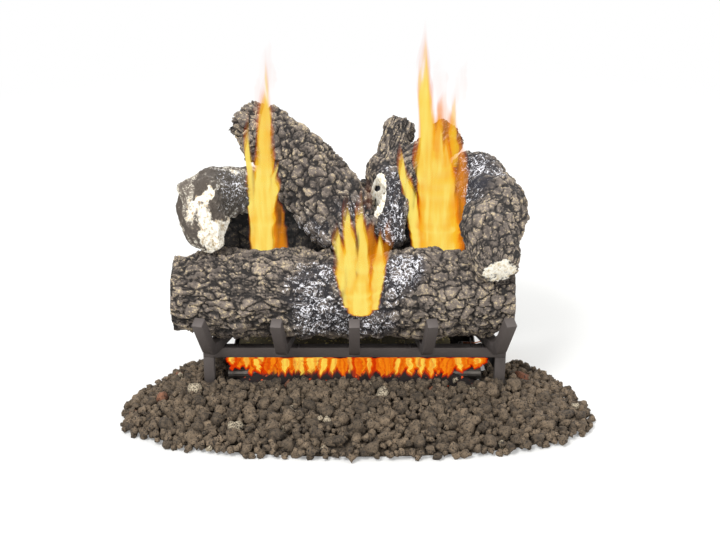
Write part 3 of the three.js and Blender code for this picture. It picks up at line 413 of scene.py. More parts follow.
@dataclass(frozen=True)
class BarkFinish:
    """Painted cast refractory: browner on the plates, with thin tan flecks dry-brushed on the crests,
    white ash where the fire reaches and cream wood where the bark is off. The grooves, cracks and
    low spots of its fine lumps are darkened as painted shade."""

    name: str
    # The groove colour is painted shade, laid in the grooves, the cracks and the low spots of the lumps.
    groove: str = "211d1b"
    plate: str = "5a514b"
    plate_light: str = "93867a"
    crust: str = "cfbb94"
    crust_amount: float = 0.7
    # The soot colour also paints the shade in a knot's hole and slit.
    soot: str = "2a2930"
    ash: str = "e6e6ec"
    pale: str = "f4efe2"
    pale_dark: str = "c4b28e"
    bump: float = 0.0036
    crust_level: float = 2.84

    def material(self) -> Material:
        """Reads relief, crest, ash, pale and char from the mesh, and breaks each up with noise.

        Three sizes of lumps give the height that the bump, the flecks and the ash share. The
        flecks and the ash also follow thin winding lines, where a noise crosses its middle.

        Returns:
            The material.
        """
        s = Shader(self.name)
        place = s.add("TexCoord", output="Object")
        relief, crest, ash, pale, char = (
            s.add("Attribute", output="Fac", attribute_name=name)
            for name in ("relief", "crest", "ash", "pale", "char")
        )
        speck, grain, worm, crumple, broad = (
            s.add("TexNoise", {"Vector": place, "Scale": 1 / size, "Detail": detail, "Roughness": 0.6})
            for size, detail in ((0.0018, 3), (0.0055, 4), (0.0075, 1.5), (0.011, 4), (0.04, 3))
        )
        away = s.add("Math", {0: worm, 1: 0.5}, operation="SUBTRACT")
        away = s.add("Math", {0: away}, operation="ABSOLUTE")
        thread = s.add("MapRange", {0: away, 1: 0.05, 2: 0.012})
        height = s.add("Math", {0: speck, 1: 0.3, 2: grain}, operation="MULTIPLY_ADD")
        height = s.add("Math", {0: crumple, 1: 0.7, 2: height}, operation="MULTIPLY_ADD")
        tone = s.add("Math", {0: broad, 1: 0.6}, operation="MULTIPLY")
        tone = s.add("Math", {0: crumple, 1: 0.4, 2: tone}, operation="MULTIPLY_ADD")
        tone = s.add("MapRange", {0: tone, 1: 0.38, 2: 0.62})
        plate = s.add("Mix", {0: tone, 6: srgb(self.plate), 7: srgb(self.plate_light)}, 2, data_type="RGBA")
        # Painted shade: low relief and low lump height, which the bump also uses, mix toward the groove
        # colour.
        uneven = s.add("Math", {0: height, 1: 0.6, 2: relief}, operation="MULTIPLY_ADD")
        uneven = s.add("MapRange", {0: uneven, 1: 0.72, 2: 1.4})
        base = s.add("Mix", {0: uneven, 6: srgb(self.groove), 7: plate}, 2, data_type="RGBA")
        brushed = 0.0
        for part, weight in ((crest, 0.25), (thread, 0.35), (speck, 1.0), (height, 1.5), (broad, 0.8)):
            brushed = s.add("Math", {0: part, 1: weight, 2: brushed}, operation="MULTIPLY_ADD")
        low, high = self.crust_level, self.crust_level + 0.15
        brushed = s.add("MapRange", {0: brushed, 1: low, 2: high, 4: self.crust_amount})
        on_plate = s.add("MapRange", {0: crest, 1: 0.12, 2: 0.45})
        brushed = s.add("Math", {0: brushed, 1: on_plate}, operation="MULTIPLY")
        # Soot round the ash and on charred patches, and the painted shade of a knot's hole and slit.
        singed_and_shaded = s.add("MapRange", {0: ash, 1: 0.05, 2: 0.5, 4: 0.55})
        singed_and_shaded = s.add("Math", {0: singed_and_shaded, 1: char}, operation="MAXIMUM")
        dust = 0.0
        for part, weight in ((ash, 0.35), (thread, 0.45), (crest, 0.4), (height, 0.9)):
            dust = s.add("Math", {0: part, 1: weight, 2: dust}, operation="MULTIPLY_ADD")
        dust = s.add("MapRange", {0: dust, 1: 1.5, 2: 1.85}, interpolation_type="SMOOTHSTEP")
        reach = s.add("MapRange", {0: ash, 1: 0.04, 2: 0.3})
        dust = s.add("Math", {0: dust, 1: reach}, operation="MULTIPLY")
        for share, colour in ((brushed, self.crust), (singed_and_shaded, self.soot), (dust, self.ash)):
            base = s.add("Mix", {0: share, 6: base, 7: srgb(colour)}, 2, data_type="RGBA")
        fibre = s.add("MapRange", {0: grain, 1: 0.46, 2: 0.68})
        wood = s.add("Mix", {0: fibre, 6: srgb(self.pale), 7: srgb(self.pale_dark)}, 2, data_type="RGBA")
        torn = s.add("Math", {0: height, 1: 0.8, 2: pale}, operation="MULTIPLY_ADD")
        torn = s.add("MapRange", {0: torn, 1: 1.2, 2: 1.4})
        base = s.add("Mix", {0: torn, 6: base, 7: wood}, 2, data_type="RGBA")
        rough = s.add("MapRange", {0: grain, 1: 0.3, 2: 0.7, 3: 0.78, 4: 0.96})
        smooth = s.add("Math", {0: torn, 1: -0.6, 2: 1.0}, operation="MULTIPLY_ADD")
        felt = s.add("Math", {0: height, 1: 0.9}, operation="SUBTRACT")
        felt = s.add("Math", {0: felt, 1: smooth}, operation="MULTIPLY")
        bump = s.add("Bump", {"Height": felt, "Distance": self.bump})
        inputs = {"Base Color": base, "Roughness": rough, "Normal": bump}
        return s.close(Surface=s.add("BsdfPrincipled", inputs))


@dataclass(frozen=True)
class SteelFinish:
    """Hot-rolled steel bar under matt high-heat paint, with a painted highlight along edges and cut ends.
    """

    name: str
    colour: str = "3d3836"
    light: str = "5a5350"
    roughness: float = 0.62
    metallic: float = 0.35

    def material(self) -> Material:
        """Scale and dust show as broad and fine noise, and edges get a painted highlight, lighter than the
        flats.

        Returns:
            The material.
        """
        s = Shader(self.name)
        place = s.add("TexCoord", output="Object")
        broad = s.add("TexNoise", {"Vector": place, "Scale": 1 / 0.025, "Detail": 4})
        fine = s.add("TexNoise", {"Vector": place, "Scale": 1 / 0.0012, "Detail": 2})
        # Painted highlight: sharp convex edges, found by their pointiness, are mixed toward the lighter
        # colour.
        edge = s.add("NewGeometry", output="Pointiness")
        edge_highlight = s.add("MapRange", {0: edge, 1: 0.51, 2: 0.56, 4: 0.7})
        tone = s.add("Math", {0: broad, 1: 0.6, 2: edge_highlight}, operation="MULTIPLY_ADD")
        tone = s.add("MapRange", {0: tone, 1: 0.2, 2: 0.9}, interpolation_type="SMOOTHSTEP")
        base = s.add("Mix", {0: tone, 6: srgb(self.colour), 7: srgb(self.light)}, 2, data_type="RGBA")
        low, high = self.roughness - 0.08, self.roughness + 0.12
        rough = s.add("MapRange", {0: fine, 1: 0.3, 2: 0.7, 3: low, 4: high})
        bump = s.add("Bump", {"Height": fine, "Distance": 0.00025})
        inputs = {"Base Color": base, "Roughness": rough, "Metallic": self.metallic, "Normal": bump}
        return s.close(Surface=s.add("BsdfPrincipled", inputs))


@dataclass(frozen=True)
class MetalFinish:
    """Bare metal, such as pressed burner steel, brass or copper, stained by heat in patches."""

    name: str
    colour: str
    stain: str
    roughness: float = 0.38
    grain: Triple = (1, 1, 1)

    def material(self) -> Material:
        """Brushed grain along one direction in the roughness, and stains in the colour.

        Returns:
            The material.
        """
        s = Shader(self.name)
        place = s.add("TexCoord", output="Object")
        drawn = s.add("Mapping", {"Vector": place, "Scale": self.grain})
        broad = s.add("TexNoise", {"Vector": place, "Scale": 1 / 0.03, "Detail": 4})
        fine = s.add("TexNoise", {"Vector": drawn, "Scale": 1 / 0.0009, "Detail": 2})
        tone = s.add("MapRange", {0: broad, 1: 0.42, 2: 0.68}, interpolation_type="SMOOTHSTEP")
        base = s.add("Mix", {0: tone, 6: srgb(self.colour), 7: srgb(self.stain)}, 2, data_type="RGBA")
        low, high = self.roughness - 0.1, self.roughness + 0.15
        rough = s.add("MapRange", {0: fine, 1: 0.3, 2: 0.7, 3: low, 4: high})
        bump = s.add("Bump", {"Height": fine, "Distance": 0.00008})
        inputs = {"Base Color": base, "Roughness": rough, "Metallic": 1.0, "Normal": bump}
        return s.close(Surface=s.add("BsdfPrincipled", inputs))


@dataclass(frozen=True)
class PlasticFinish:
    """Moulded heat-resistant plastic with a fine spark-eroded grain and a soft gloss."""

    name: str
    colour: str = "1c1c1e"
    dust: str = "2b2a2b"

    def material(self) -> Material:
        """A grain a tenth of a millimetre deep at most, with slightly lighter dust in it.

        Returns:
            The material.
        """
        s = Shader(self.name)
        place = s.add("TexCoord", output="Object")
        broad = s.add("TexNoise", {"Vector": place, "Scale": 1 / 0.012, "Detail": 3})
        fine = s.add("TexNoise", {"Vector": place, "Scale": 1 / 0.0007, "Detail": 2})
        tone = s.add("MapRange", {0: broad, 1: 0.4, 2: 0.75})
        base = s.add("Mix", {0: tone, 6: srgb(self.colour), 7: srgb(self.dust)}, 2, data_type="RGBA")
        rough = s.add("MapRange", {0: fine, 1: 0.3, 2: 0.7, 3: 0.42, 4: 0.6})
        bump = s.add("Bump", {"Height": fine, "Distance": 0.00006})
        inputs = {"Base Color": base, "Roughness": rough, "Normal": bump}
        return s.close(Surface=s.add("BsdfPrincipled", inputs))


@dataclass(frozen=True)
class RockFinish:
    """Crushed lava rock: dull, dark brown and full of small open pores. Each rock has its own tint."""

    name: str
    dark: str = "30281f"
    light: str = "82705b"
    # Colour of the painted shade in small pits.
    pore: str = "1b1613"
    rust: str = "8a5238"
    chalk: str = "cfc2a8"

    def material(self) -> Material:
        """Reads each rock's tint, rust and chalk, and paints shade into the low spots of the fine grain, as
        small dark pits.

        Returns:
            The material.
        """
        s = Shader(self.name)
        place = s.add("TexCoord", output="Object")
        tint, rust, chalk = (
            s.add("Attribute", output="Fac", attribute_name=name) for name in ("tint", "rust", "chalk")
        )
        grain = s.add("TexNoise", {"Vector": place, "Scale": 1 / 0.0026, "Detail": 3})
        broad = s.add("TexNoise", {"Vector": place, "Scale": 1 / 0.008, "Detail": 3})
        tone = s.add("Math", {0: tint, 1: 0.4}, operation="MULTIPLY")
        tone = s.add("Math", {0: broad, 1: 0.9, 2: tone}, operation="MULTIPLY_ADD")
        tone = s.add("MapRange", {0: tone, 1: 0.3, 2: 1.05})
        base = s.add("Mix", {0: tone, 6: srgb(self.dark), 7: srgb(self.light)}, 2, data_type="RGBA")
        powder = s.add("MapRange", {0: grain, 1: 0.4, 2: 0.6})
        powder = s.add("Math", {0: powder, 1: chalk}, operation="MULTIPLY")
        # Painted shade: where the fine grain, which is also the bump's height, is low, it darkens toward
        # the pit colour.
        pore = s.add("MapRange", {0: grain, 1: 0.48, 2: 0.36})
        for share, colour in ((rust, self.rust), (powder, self.chalk), (pore, self.pore)):
            base = s.add("Mix", {0: share, 6: base, 7: srgb(colour)}, 2, data_type="RGBA")
        rough = s.add("MapRange", {0: grain, 1: 0.3, 2: 0.7, 3: 0.88, 4: 0.99})
        bump = s.add("Bump", {"Height": grain, "Distance": 0.0018})
        inputs = {"Base Color": base, "Roughness": rough, "Normal": bump}
        return s.close(Surface=s.add("BsdfPrincipled", inputs))


@dataclass(frozen=True)
class GranuleFinish:
    """Ember granules: matt mineral grains. Glowing ones give off their own orange light."""

    name: str
    dark: str
    light: str
    glow: float = 0.0
    glow_colour: str = "ff5a12"

    def material(self) -> Material:
        """Each grain's tint sets its colour, and how hot it is.

        Returns:
            The material.
        """
        s = Shader(self.name)
        place = s.add("TexCoord", output="Object")
        tint = s.add("Attribute", output="Fac", attribute_name="tint")
        grain = s.add("TexNoise", {"Vector": place, "Scale": 1 / 0.002, "Detail": 3})
        tone = s.add("Math", {0: tint, 1: 0.7}, operation="MULTIPLY")
        tone = s.add("Math", {0: grain, 1: 0.4, 2: tone}, operation="MULTIPLY_ADD")
        share = s.add("MapRange", {0: tone, 1: 0.15, 2: 0.9}, interpolation_type="SMOOTHSTEP")
        base = s.add("Mix", {0: share, 6: srgb(self.dark), 7: srgb(self.light)}, 2, data_type="RGBA")
        bump = s.add("Bump", {"Height": grain, "Distance": 0.0006})
        inputs = {"Base Color": base, "Roughness": 0.9, "Normal": bump}
        if self.glow:
            heat = s.add("MapRange", {0: tone, 1: 0.5, 2: 1.0, 4: self.glow})
            inputs |= {"Emission Color": srgb(self.glow_colour), "Emission Strength": heat}
        return s.close(Surface=s.add("BsdfPrincipled", inputs))


@dataclass(frozen=True)
class FlameFinish:
    """Burning gas: it gives off its own light, hides what lies behind it where it is thick, and has
    no surface."""

    name: str
    colour: str
    density: float
    streak: float = 0.012

    def material(self) -> Material:
        """Emission and an equal absorption, both scaled by upright streaks of noise.

        Returns:
            The material.
        """
        s = Shader(self.name)
        place = s.add("TexCoord", output="Object")
        drawn = s.add("Mapping", {"Vector": place, "Scale": (1, 1, 0.13)})
        streaks = s.add("TexNoise", {"Vector": drawn, "Scale": 1 / self.streak, "Detail": 2})
        low, high = 0.12 * self.density, self.density
        density = s.add("MapRange", {0: streaks, 1: 0.38, 2: 0.58, 3: low, 4: high})
        light = s.add("Emission", {"Color": srgb(self.colour), "Strength": density})
        veil = s.add("VolumeAbsorption", {"Color": (0, 0, 0, 1), "Density": density})
        s.owner.cycles.volume_step_rate = 0.3
        return s.close(Volume=s.add("AddShader", {0: light, 1: veil}))


@dataclass(frozen=True)
class FloorFinish:
    """Plain pale floor that fades into the background and keeps the soft shadow of the object."""

    name: str = "pale_floor"

    def material(self) -> Material:
        """To the camera and in reflections it is light grey plus its own light, which takes over
        with distance from the object, and to everything else it is plain grey.

        Returns:
            The material.
        """
        s = Shader(self.name)
        place = s.add("TexCoord", output="Object")
        away = s.add("VectorMath", {0: place}, "Value", operation="LENGTH")
        far = s.add("MapRange", {0: away, 1: 0.8, 2: 2.4}, interpolation_type="SMOOTHSTEP")
        matt = s.add("BsdfDiffuse", {"Color": srgb("c9c9c7")})
        lit = s.add("Emission", {"Color": srgb("ffffff"), "Strength": 0.24})
        near = s.add("AddShader", {0: matt, 1: lit})
        white = s.add("Emission", {"Color": srgb("ffffff"), "Strength": 1.0})
        shown = s.add("MixShader", {0: far, 1: near, 2: white})
        return s.close(Surface=s.add("MixShader", {0: s.background_rays(), 1: matt, 2: shown}))


# Frame


@dataclass(frozen=True)
class Layout:
    """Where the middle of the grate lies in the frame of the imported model."""

    shift: Array

    @classmethod
    def from_frame(cls) -> "Layout":
        """Finds the middle of the grate behind the middle of its front rail.

        Returns:
            The layout.
        """
        low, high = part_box("front_rail")
        middle = (np.array(low) + np.array(high)) / 2
        return cls(np.array([middle[0], middle[1] - FRONT_RAIL_Y, 0.0]))


def place_piece(made: bpy.types.Object, body: str, nodes: tuple[str, ...] = ()) -> None:
    """Says what a piece belongs to, and reports it.

    Args:
        made: the piece.
        body: the body that it rides on.
        nodes: the CAD nodes that it stands for.
    """
    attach(made, body)
    if nodes:
        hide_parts(*nodes)
    triangles = sum(len(p.vertices) - 2 for p in made.data.polygons)
    log.info("%s: %d triangles on %s", made.name, triangles, body)


# Bark


@dataclass(frozen=True)
class BarkStyle:
    """How bark breaks up. Pairs are a length along the log and a width round it."""

    plate: tuple[float, float]
    groove: float
    side: float = 0.16
    dome: float = 0.002
    order: float = 0.75
    lift: float = 0.0015
    tilt: float = 0.0015
    warp: float = 0.007
    fibre: tuple[float, float] = (0.03, 0.005)
    fibre_height: float = 0.0012
    wrinkle: tuple[float, float] = (0.004, 0.012)
    wrinkle_height: float = 0.0006
    lump: float = 0.03
    lump_height: float = 0.001
    split: float = 0.45
    bend: float = 0.02
    fine_bend: float = 0.006


class Bark(Enum):
    """The kinds of bark on the logs."""

    LAYERED = BarkStyle(
        (0.036, 0.0125), 0.005, side=0.2, lift=0.0035, tilt=0.003,
        fibre=(0.035, 0.005), fibre_height=0.0016,
    )
    BLOCKY = BarkStyle(
        (0.026, 0.022), 0.0056, dome=0.0024, order=0.7, lift=0.0025, wrinkle=(0.003, 0.016),
        wrinkle_height=0.0009,
    )
    KNOBBLY = BarkStyle(
        (0.025, 0.02), 0.0068, side=0.22, dome=0.0034, order=0.6, lift=0.003, tilt=0.003,
        warp=0.006, wrinkle=(0.004, 0.014), wrinkle_height=0.0012,
    )
    WRINKLED = BarkStyle(
        (0.06, 0.04), 0.001, side=0.3, dome=0.0, fibre=(0.045, 0.008), fibre_height=0.004,
        wrinkle=(0.009, 0.0045), wrinkle_height=0.0026, lump=0.035, lump_height=0.003,
    )
    STRINGY = BarkStyle(
        (0.05, 0.0095), 0.0028, side=0.25, dome=0.0012, lift=0.002, warp=0.006,
        fibre=(0.04, 0.0042), fibre_height=0.0028, wrinkle=(0.006, 0.004), wrinkle_height=0.001,
    )
    LUMPY = BarkStyle(
        (0.019, 0.015), 0.0022, side=0.22, dome=0.0018, lift=0.0025, tilt=0.002,
        fibre=(0.016, 0.006), fibre_height=0.0016, lump=0.028, lump_height=0.0034,
        wrinkle_height=0.0009,
    )
    CHARRED = BarkStyle((0.034, 0.026), 0.005, side=0.2, lift=0.0025, wrinkle=(0.003, 0.012))
    CHUNKY = BarkStyle(
        (0.036, 0.03), 0.009, side=0.12, dome=0.001, lift=0.009, tilt=0.008, order=0.5,
    )


@dataclass
class Coat:
    """Height of bark over the plain log, and the masks that its material reads."""

    height: Array
    relief: Array
    crest: Array


def grow_bark(style: BarkStyle, along: Array, round_x: Array, round_y: Array, seed: int) -> Coat:
    """Bark over a log that is unrolled into its own space.

    Args:
        style: how the bark breaks up.
        along: distance along the log.
        round_x: nominal radius times the cosine of the angle round it.
        round_y: nominal radius times the sine of that angle.
        seed: which bark to grow.

    Returns:
        The coat. Its height is -groove * (1 - plateau) + (lift and tilt of each plate) * plateau
        + dome, plus fibres along the log, wrinkles and lumps. The plateau rises where a cell
        pattern's second distance is above its first, so grooves follow the cells' borders. A
        share of the plates is broken up by a finer pattern with half as deep cracks.
    """

    def space(size: tuple[float, float]) -> Array:
        """The log's own space in cells of a length along it and a width round it."""
        return np.stack([along / size[0], round_x / size[1], round_y / size[1]], -1)

    bend, fine = (
        np.stack([value_noise(space((size, size)), seed + k) for k in numbers], -1)
        for size, numbers in ((style.bend, (1, 2, 3)), (style.fine_bend, (4, 5, 6)))
    )
    scale = np.array([style.plate[0], style.plate[1], style.plate[1]])
    warped = space(style.plate) + (bend + 0.35 * fine) * style.warp / scale
    cells = cell_pattern(warped, seed, style.order)
    border = cells.second - cells.first
    plateau = smoothstep(0.0, style.side, border)
    rim = plateau * (1 - smoothstep(1.2 * style.side, 3 * style.side, border))
    rise = (cells.random(seed + 7) - 0.65) * style.lift
    lean = np.stack([cells.random(seed + k) - 0.5 for k in (8, 9, 10)], -1)
    rise = rise + 2 * style.tilt * np.sum(lean * cells.offset, -1)
    small = cell_pattern(2.1 * warped + 0.4 * fine, seed + 50, 0.9)
    crack = 1 - smoothstep(0.0, 1.6 * style.side, small.second - small.first)
    crack = crack * plateau * (cells.random(seed + 13) < style.split)
    fibres = ridged(space(style.fibre), 3, seed + 20)
    wrinkles = ridged(space(style.wrinkle), 2, seed + 30)
    lumps = fbm(space((style.lump, style.lump)), 3, seed + 40)
    height = -style.groove * (1 - plateau) + rise * plateau
    height = height + style.dome * (smoothstep(0.0, 0.8, border) - 0.6) - 0.5 * style.groove * crack
    height = height + style.fibre_height * (fibres - 0.6) * (0.4 + 0.6 * plateau)
    height = height + style.wrinkle_height * (wrinkles - 0.5) + style.lump_height * lumps
    # Relief is low in the grooves and cracks, and the material paints low relief as shade.
    relief = plateau * (0.6 + 0.35 * fibres + 0.3 * (wrinkles - 0.5)) - 0.6 * crack
    crest = 0.15 + 0.75 * (fibres - 0.45) + 0.35 * cells.random(seed + 12) + 0.3 * rim
    crest = (plateau - crack) * np.clip(crest + 0.3 * (wrinkles - 0.5), 0, 1)
    return Coat(height, np.clip(relief, 0, 1), crest)


def blend_coats(first: Coat, second: Coat, share: Array) -> Coat:
    """Blends two coats.

    Args:
        first: the coat where share is 0.
        second: the coat where share is 1.
        share: how much of the second shows.

    Returns:
        The blended coat.
    """
    pairs = zip(vars(first).values(), vars(second).values())
    return Coat(*(a * (1 - share) + b * share for a, b in pairs))


@dataclass(frozen=True)
class Stub:
    """The stub of a branch round a point, measured from the middle of the grate in millimetres."""

    centre: Triple
    radius: float
    height: float

    def rise(self, points: Array) -> Array:
        """How far it lifts the bark: height * exp(-(distance / radius)^4), so its top is flat."""
        away = np.linalg.norm(points - np.array(self.centre) * MM, axis=-1) / (self.radius * MM)
        return self.height * MM * np.exp(-(away**4))


class Mark(Enum):
    """What a patch on a log shows: ash, bare cream wood or soot."""

    ASH = "ash"
    PALE = "pale"
    CHAR = "char"

    def at(self, radius: float, strength: float, *centres: Triple) -> tuple["Patch", ...]:
        """Patches of one size and strength."""
        return tuple(Patch(self, centre, radius, strength) for centre in centres)


@dataclass(frozen=True)
class Patch:
    """A ragged patch round a point that is measured from the middle of the grate, in millimetres."""

    kind: Mark
    centre: Triple
    radius: float
    strength: float


def paint(patches: tuple[Patch, ...], points: Array, seed: int) -> dict[str, Array]:
    """Strength of each kind of mark at each point.

    Args:
        patches: what is painted.
        points: points measured from the middle of the grate.
        seed: how the rims are torn.

    Returns:
        For each kind the sum over its patches of strength * exp(-(distance / radius)^2), at points
        moved by noise, times 1 + 0.5 * noise, from 0 to 1.
    """
    coarse = np.stack([fbm(points / 0.022, 3, seed + k) for k in (61, 62, 63)], -1)
    fine = np.stack([fbm(points / 0.006, 2, seed + k) for k in (64, 65, 66)], -1)
    moved = points + 0.014 * coarse + 0.004 * fine
    torn = 1 + 0.5 * fbm(points / 0.01, 3, seed + 67)
    found = {kind.value: np.zeros(points.shape[:-1]) for kind in Mark}
    for patch in patches:
        away = np.linalg.norm(moved - np.array(patch.centre) * MM, axis=-1) / (patch.radius * MM)
        found[patch.kind.value] += patch.strength * np.exp(-(away**2)) * torn
    return {name: np.clip(value, 0, 1) for name, value in found.items()}


# Logs


def plain_relief(angle: Array, distance: Array, seed: int) -> Array:
    """Long lumps and ridges of the cast log under its bark.

    Args:
        angle: angle a round the log.
        distance: distance d along it.
        seed: which lumps to give.

    Returns:
        2.5 mm * sin(2a + 2 pi d / 118 mm + seed)
        + 2 mm * sin(6a + seed) * sin(2 pi d / 46 mm + 2 seed).
    """
    lump = np.sin(2 * angle + TAU * distance / 0.118 + seed)
    ridge = np.sin(6 * angle + seed) * np.sin(TAU * distance / 0.046 + 2 * seed)
    return 0.0025 * lump + 0.002 * ridge


@dataclass(frozen=True)
class Furrows:
    """Main furrows along a log and cross cracks between them, which leave rows of bark slabs."""

    rows: int = 12
    depth: float = 0.004
    wander: float = 0.35
    wander_length: float = 0.230
    ring: float = 0.598 / 40
    rings_per_slab: int = 4
    cracks: tuple[float, ...] = (0, 0.5, 0.25, 0.75, 0, 0.5, 0.75, 0.25, 0.5, 0, 0.75, 0.25)

    def at(self, angle: Array, distance: Array) -> Array:
        """Depth of the furrows and cracks.

        Args:
            angle: angle round the log.
            distance: distance along it.

        Returns:
            depth * (1 - (ridge * slab)^0.7). The ridge is a triangle wave round the log, 1 on a
            row's middle and 0 in a furrow, and the slab rises from 0 at a crack to 1 one ring away.
        """
        turn = self.wander * TAU / self.rows * np.sin(TAU * distance / self.wander_length)
        place = (angle - turn) / (TAU / self.rows)
        ridge = 1 - 2 * np.abs((place + 0.5) % 1 - 0.5)
        row = np.round(place).astype(int) % self.rows
        step = distance / self.ring / self.rings_per_slab - np.array(self.cracks)[row]
        slab = np.clip(self.rings_per_slab * np.abs((step + 0.5) % 1 - 0.5), 0, 1)
        return self.depth * (1 - ridge**0.7 * slab**0.7)


@dataclass(frozen=True)
class EndCut:
    """How a log's end looks: how rough it is, how much it bulges, and whether it shows cream wood."""

    rough: float = 0.003
    bulge: float = 0.0
    pale: float = 0.0


@dataclass
class Skin:
    """Rings of points round a log with the masks for its material."""

    points: Array
    masks: dict[str, Array]

    def close(
        self, ends: tuple[EndCut, EndCut], spacing: float, seed: int
    ) -> tuple[Array, dict[str, Array]]:
        """Adds rings over both ends that shrink to one point each.

        Args:
            ends: the look of the first and the last end.
            spacing: distance between the added rings.
            seed: how the ends are broken.

        Returns:
            All points, ring after ring and then the two end points, and the masks for them. A ring
            at share s of the end's outline lies at C + s (P - C) + T h, where h is the bulge
            times (1 - s^2) plus noise that fades out at the rim.
        """
        grids, masks = [self.points], {name: [value] for name, value in self.masks.items()}
        poles, pole_masks = [], {name: [] for name in self.masks}
        for last, cut in enumerate(ends):
            rim, inner = (self.points[-1], self.points[-4]) if last else (self.points[0], self.points[3])
            centre = rim.mean(0)
            outward = unit(centre - inner.mean(0))
            size = np.linalg.norm(rim - centre, axis=-1).mean()
            shares = np.linspace(1, 0, max(int(size / spacing), 6))[1:-1, None, None]
            flat = centre + shares * (rim - centre)
            torn = fbm(flat / 0.012, 4, seed + 70 + last) + 0.5 * fbm(flat / 0.004, 2, seed + 80)
            fade = np.clip(3 * (1 - shares[..., 0]), 0, 1)
            rise = cut.rough * (torn - 0.35) * fade + cut.bulge * (1 - shares[..., 0] ** 2)
            cap = flat + outward * rise[..., None]
            wood = np.clip(0.5 + 0.7 * torn, 0, 1)
            flesh = np.clip(cut.pale * (0.75 + 0.5 * torn) * (0.6 + 0.4 * fade), 0, 1)
            # Relief follows the torn end's height, so its hollows take painted shade.
            new = {
                "relief": 0.2 + 0.5 * wood,
                "crest": 0.4 * wood,
                "ash": np.repeat(self.masks["ash"][-1 if last else 0][None], len(cap), 0),
                "pale": flesh,
                "char": np.full(wood.shape, 0.3),
            }
            where = len(grids) if last else 0
            grids.insert(where, cap if last else cap[::-1])
            for name in masks:
                masks[name].insert(where, new[name] if last else new[name][::-1])
                pole_masks[name].append(new[name][-1].mean())
            poles.append(cap[-1].mean(0))
        points = np.concatenate([np.concatenate(grids).reshape(-1, 3), np.array(poles)])
        flat_masks = {
            name: np.concatenate([np.concatenate(parts).ravel(), pole_masks[name]])
            for name, parts in masks.items()
        }
        return points, flat_masks


@dataclass(frozen=True)
class Notch:
    """A burnt notch in a log's upper front."""

    x: float = 0.012
    half_width: float = 0.034
    depth_share: float = 0.3
    angle: float = 5 * math.pi / 8

    def left(self, x: Array, angle: Array) -> Array:
        """What is left: 1 - depth * exp(-((x - x0) / width)^2) * max(cos(a - a0), 0)."""
        across = np.exp(-(((x - self.x) / self.half_width) ** 2))
        return 1 - self.depth_share * across * np.clip(np.cos(angle - self.angle), 0, None)


@dataclass
class LyingLog:
    """A big log along X, oval and flat underneath, which lies on the grate. Round change_x its bark
    goes over from the first kind to the second."""

    name: str
    length: float
    height: float
    depth: float
    x: float
    y: float
    shares: tuple[float, ...]
    seed: int
    finish: BarkFinish
    slot: str
    bark: tuple[Bark, Bark]
    change_x: float = 0.010
    change_half: float = 0.02
    change_wander: float = 0.03
    notch: Notch | None = None
    furrows: Furrows = Furrows()
    rim_drop: float = 0.004
    rim_width: float = 0.009
    spacing: float = 0.002
    patches: tuple[Patch, ...] = ()
    ends: tuple[EndCut, EndCut] = (EndCut(), EndCut())

    @property
    def half_height(self) -> float:
        """Half the log's height before its underside is flattened."""
        return (self.height + LOG_FLAT) / 2

    @property
    def axis_level(self) -> float:
        """Height of its middle line."""
        return LOG_SEAT - LOG_FLAT + self.half_height

    def share(self, x: Array, angle: Array) -> Array:
        """Thickness of the log as a share, less its notch.

        Args:
            x: place along the log.
            angle: angle round it.

        Returns:
            The share.
        """
        share = share_at(self.shares, (x - self.x) / self.length + 0.5)
        return share * self.notch.left(x, angle) if self.notch else share

    def reach(self, half: float, x: Array, angle: Array) -> Array:
        """Distance from the middle line to the cast surface."""
        distance = x - self.x + self.length / 2
        return half * self.share(x, angle) + plain_relief(angle, distance, self.seed)

    def top(self, x: Array, y: Array) -> Array:
        """Height of the log's upper surface.

        Args:
            x: places across the plan.
            y: places up the plan.

        Returns:
            The height at each place, or 0 beside the log.
        """
        middle = np.full(x.shape, math.pi / 2)
        half = self.reach(self.depth / 2, x, middle)
        side = (y - self.y) / half
        angle = np.arccos(np.clip(side, -1, 1))
        level = self.axis_level + np.sin(angle) * self.reach(self.half_height, x, angle)
        inside = (np.abs(side) < 1) & (np.abs(x - self.x) < self.length / 2)
        return np.where(inside, level, 0.0)

    def build(self, layout: Layout) -> None:
        """Makes the log with its bark and dresses it.

        Round its axis it is y = y0 + cos(a) (r_y + bark) and z = z0 + sin(a) (r_z + bark), and no
        lower than its seat.

        Args:
            layout: where the grate lies.
        """
        rings = int(self.length / self.spacing)
        sides = int(math.pi * (self.height + self.depth) / 2 / self.spacing)
        x_line = self.x + (np.linspace(0, 1, rings) - 0.5) * self.length
        x, angle = np.meshgrid(x_line, np.arange(sides) * TAU / sides, indexing="ij")
        radius = (self.height + self.depth) / 4
        round_x, round_y = radius * np.cos(angle), radius * np.sin(angle)
        coats = [grow_bark(b.value, x, round_x, round_y, self.seed * 13) for b in self.bark]
        across = np.stack([x * 0, round_x, round_y], -1) / self.change_wander
        past_change = x - self.change_x + self.change_wander * value_noise(across, self.seed)
        coat = blend_coats(*coats, smoothstep(-self.change_half, self.change_half, past_change))
        rim = np.minimum(x - x_line[0], x_line[-1] - x)
        extra = coat.height - self.rim_drop * (1 - smoothstep(0.0, self.rim_width, rim))
        extra = extra - self.furrows.at(angle, x - x_line[0])
        y = self.y + np.cos(angle) * (self.reach(self.depth / 2, x, angle) + extra)
        z = self.axis_level + np.sin(angle) * (self.reach(self.half_height, x, angle) + extra)
        points = np.stack([x, y, np.maximum(z, LOG_SEAT)], -1)
        masks = {"relief": coat.relief, "crest": coat.crest}
        masks |= paint(self.patches, points, self.seed)
        closed, all_masks = Skin(points, masks).close(self.ends, self.spacing * 1.5, self.seed)
        total = (len(closed) - 2) // sides
        made = make_mesh(f"{self.name}_bark", closed + layout.shift, capped_faces(total, sides))
        set_attributes(made, all_masks)
        dress(made.data, self.finish.material())
        place_piece(made, self.name, (self.name,))


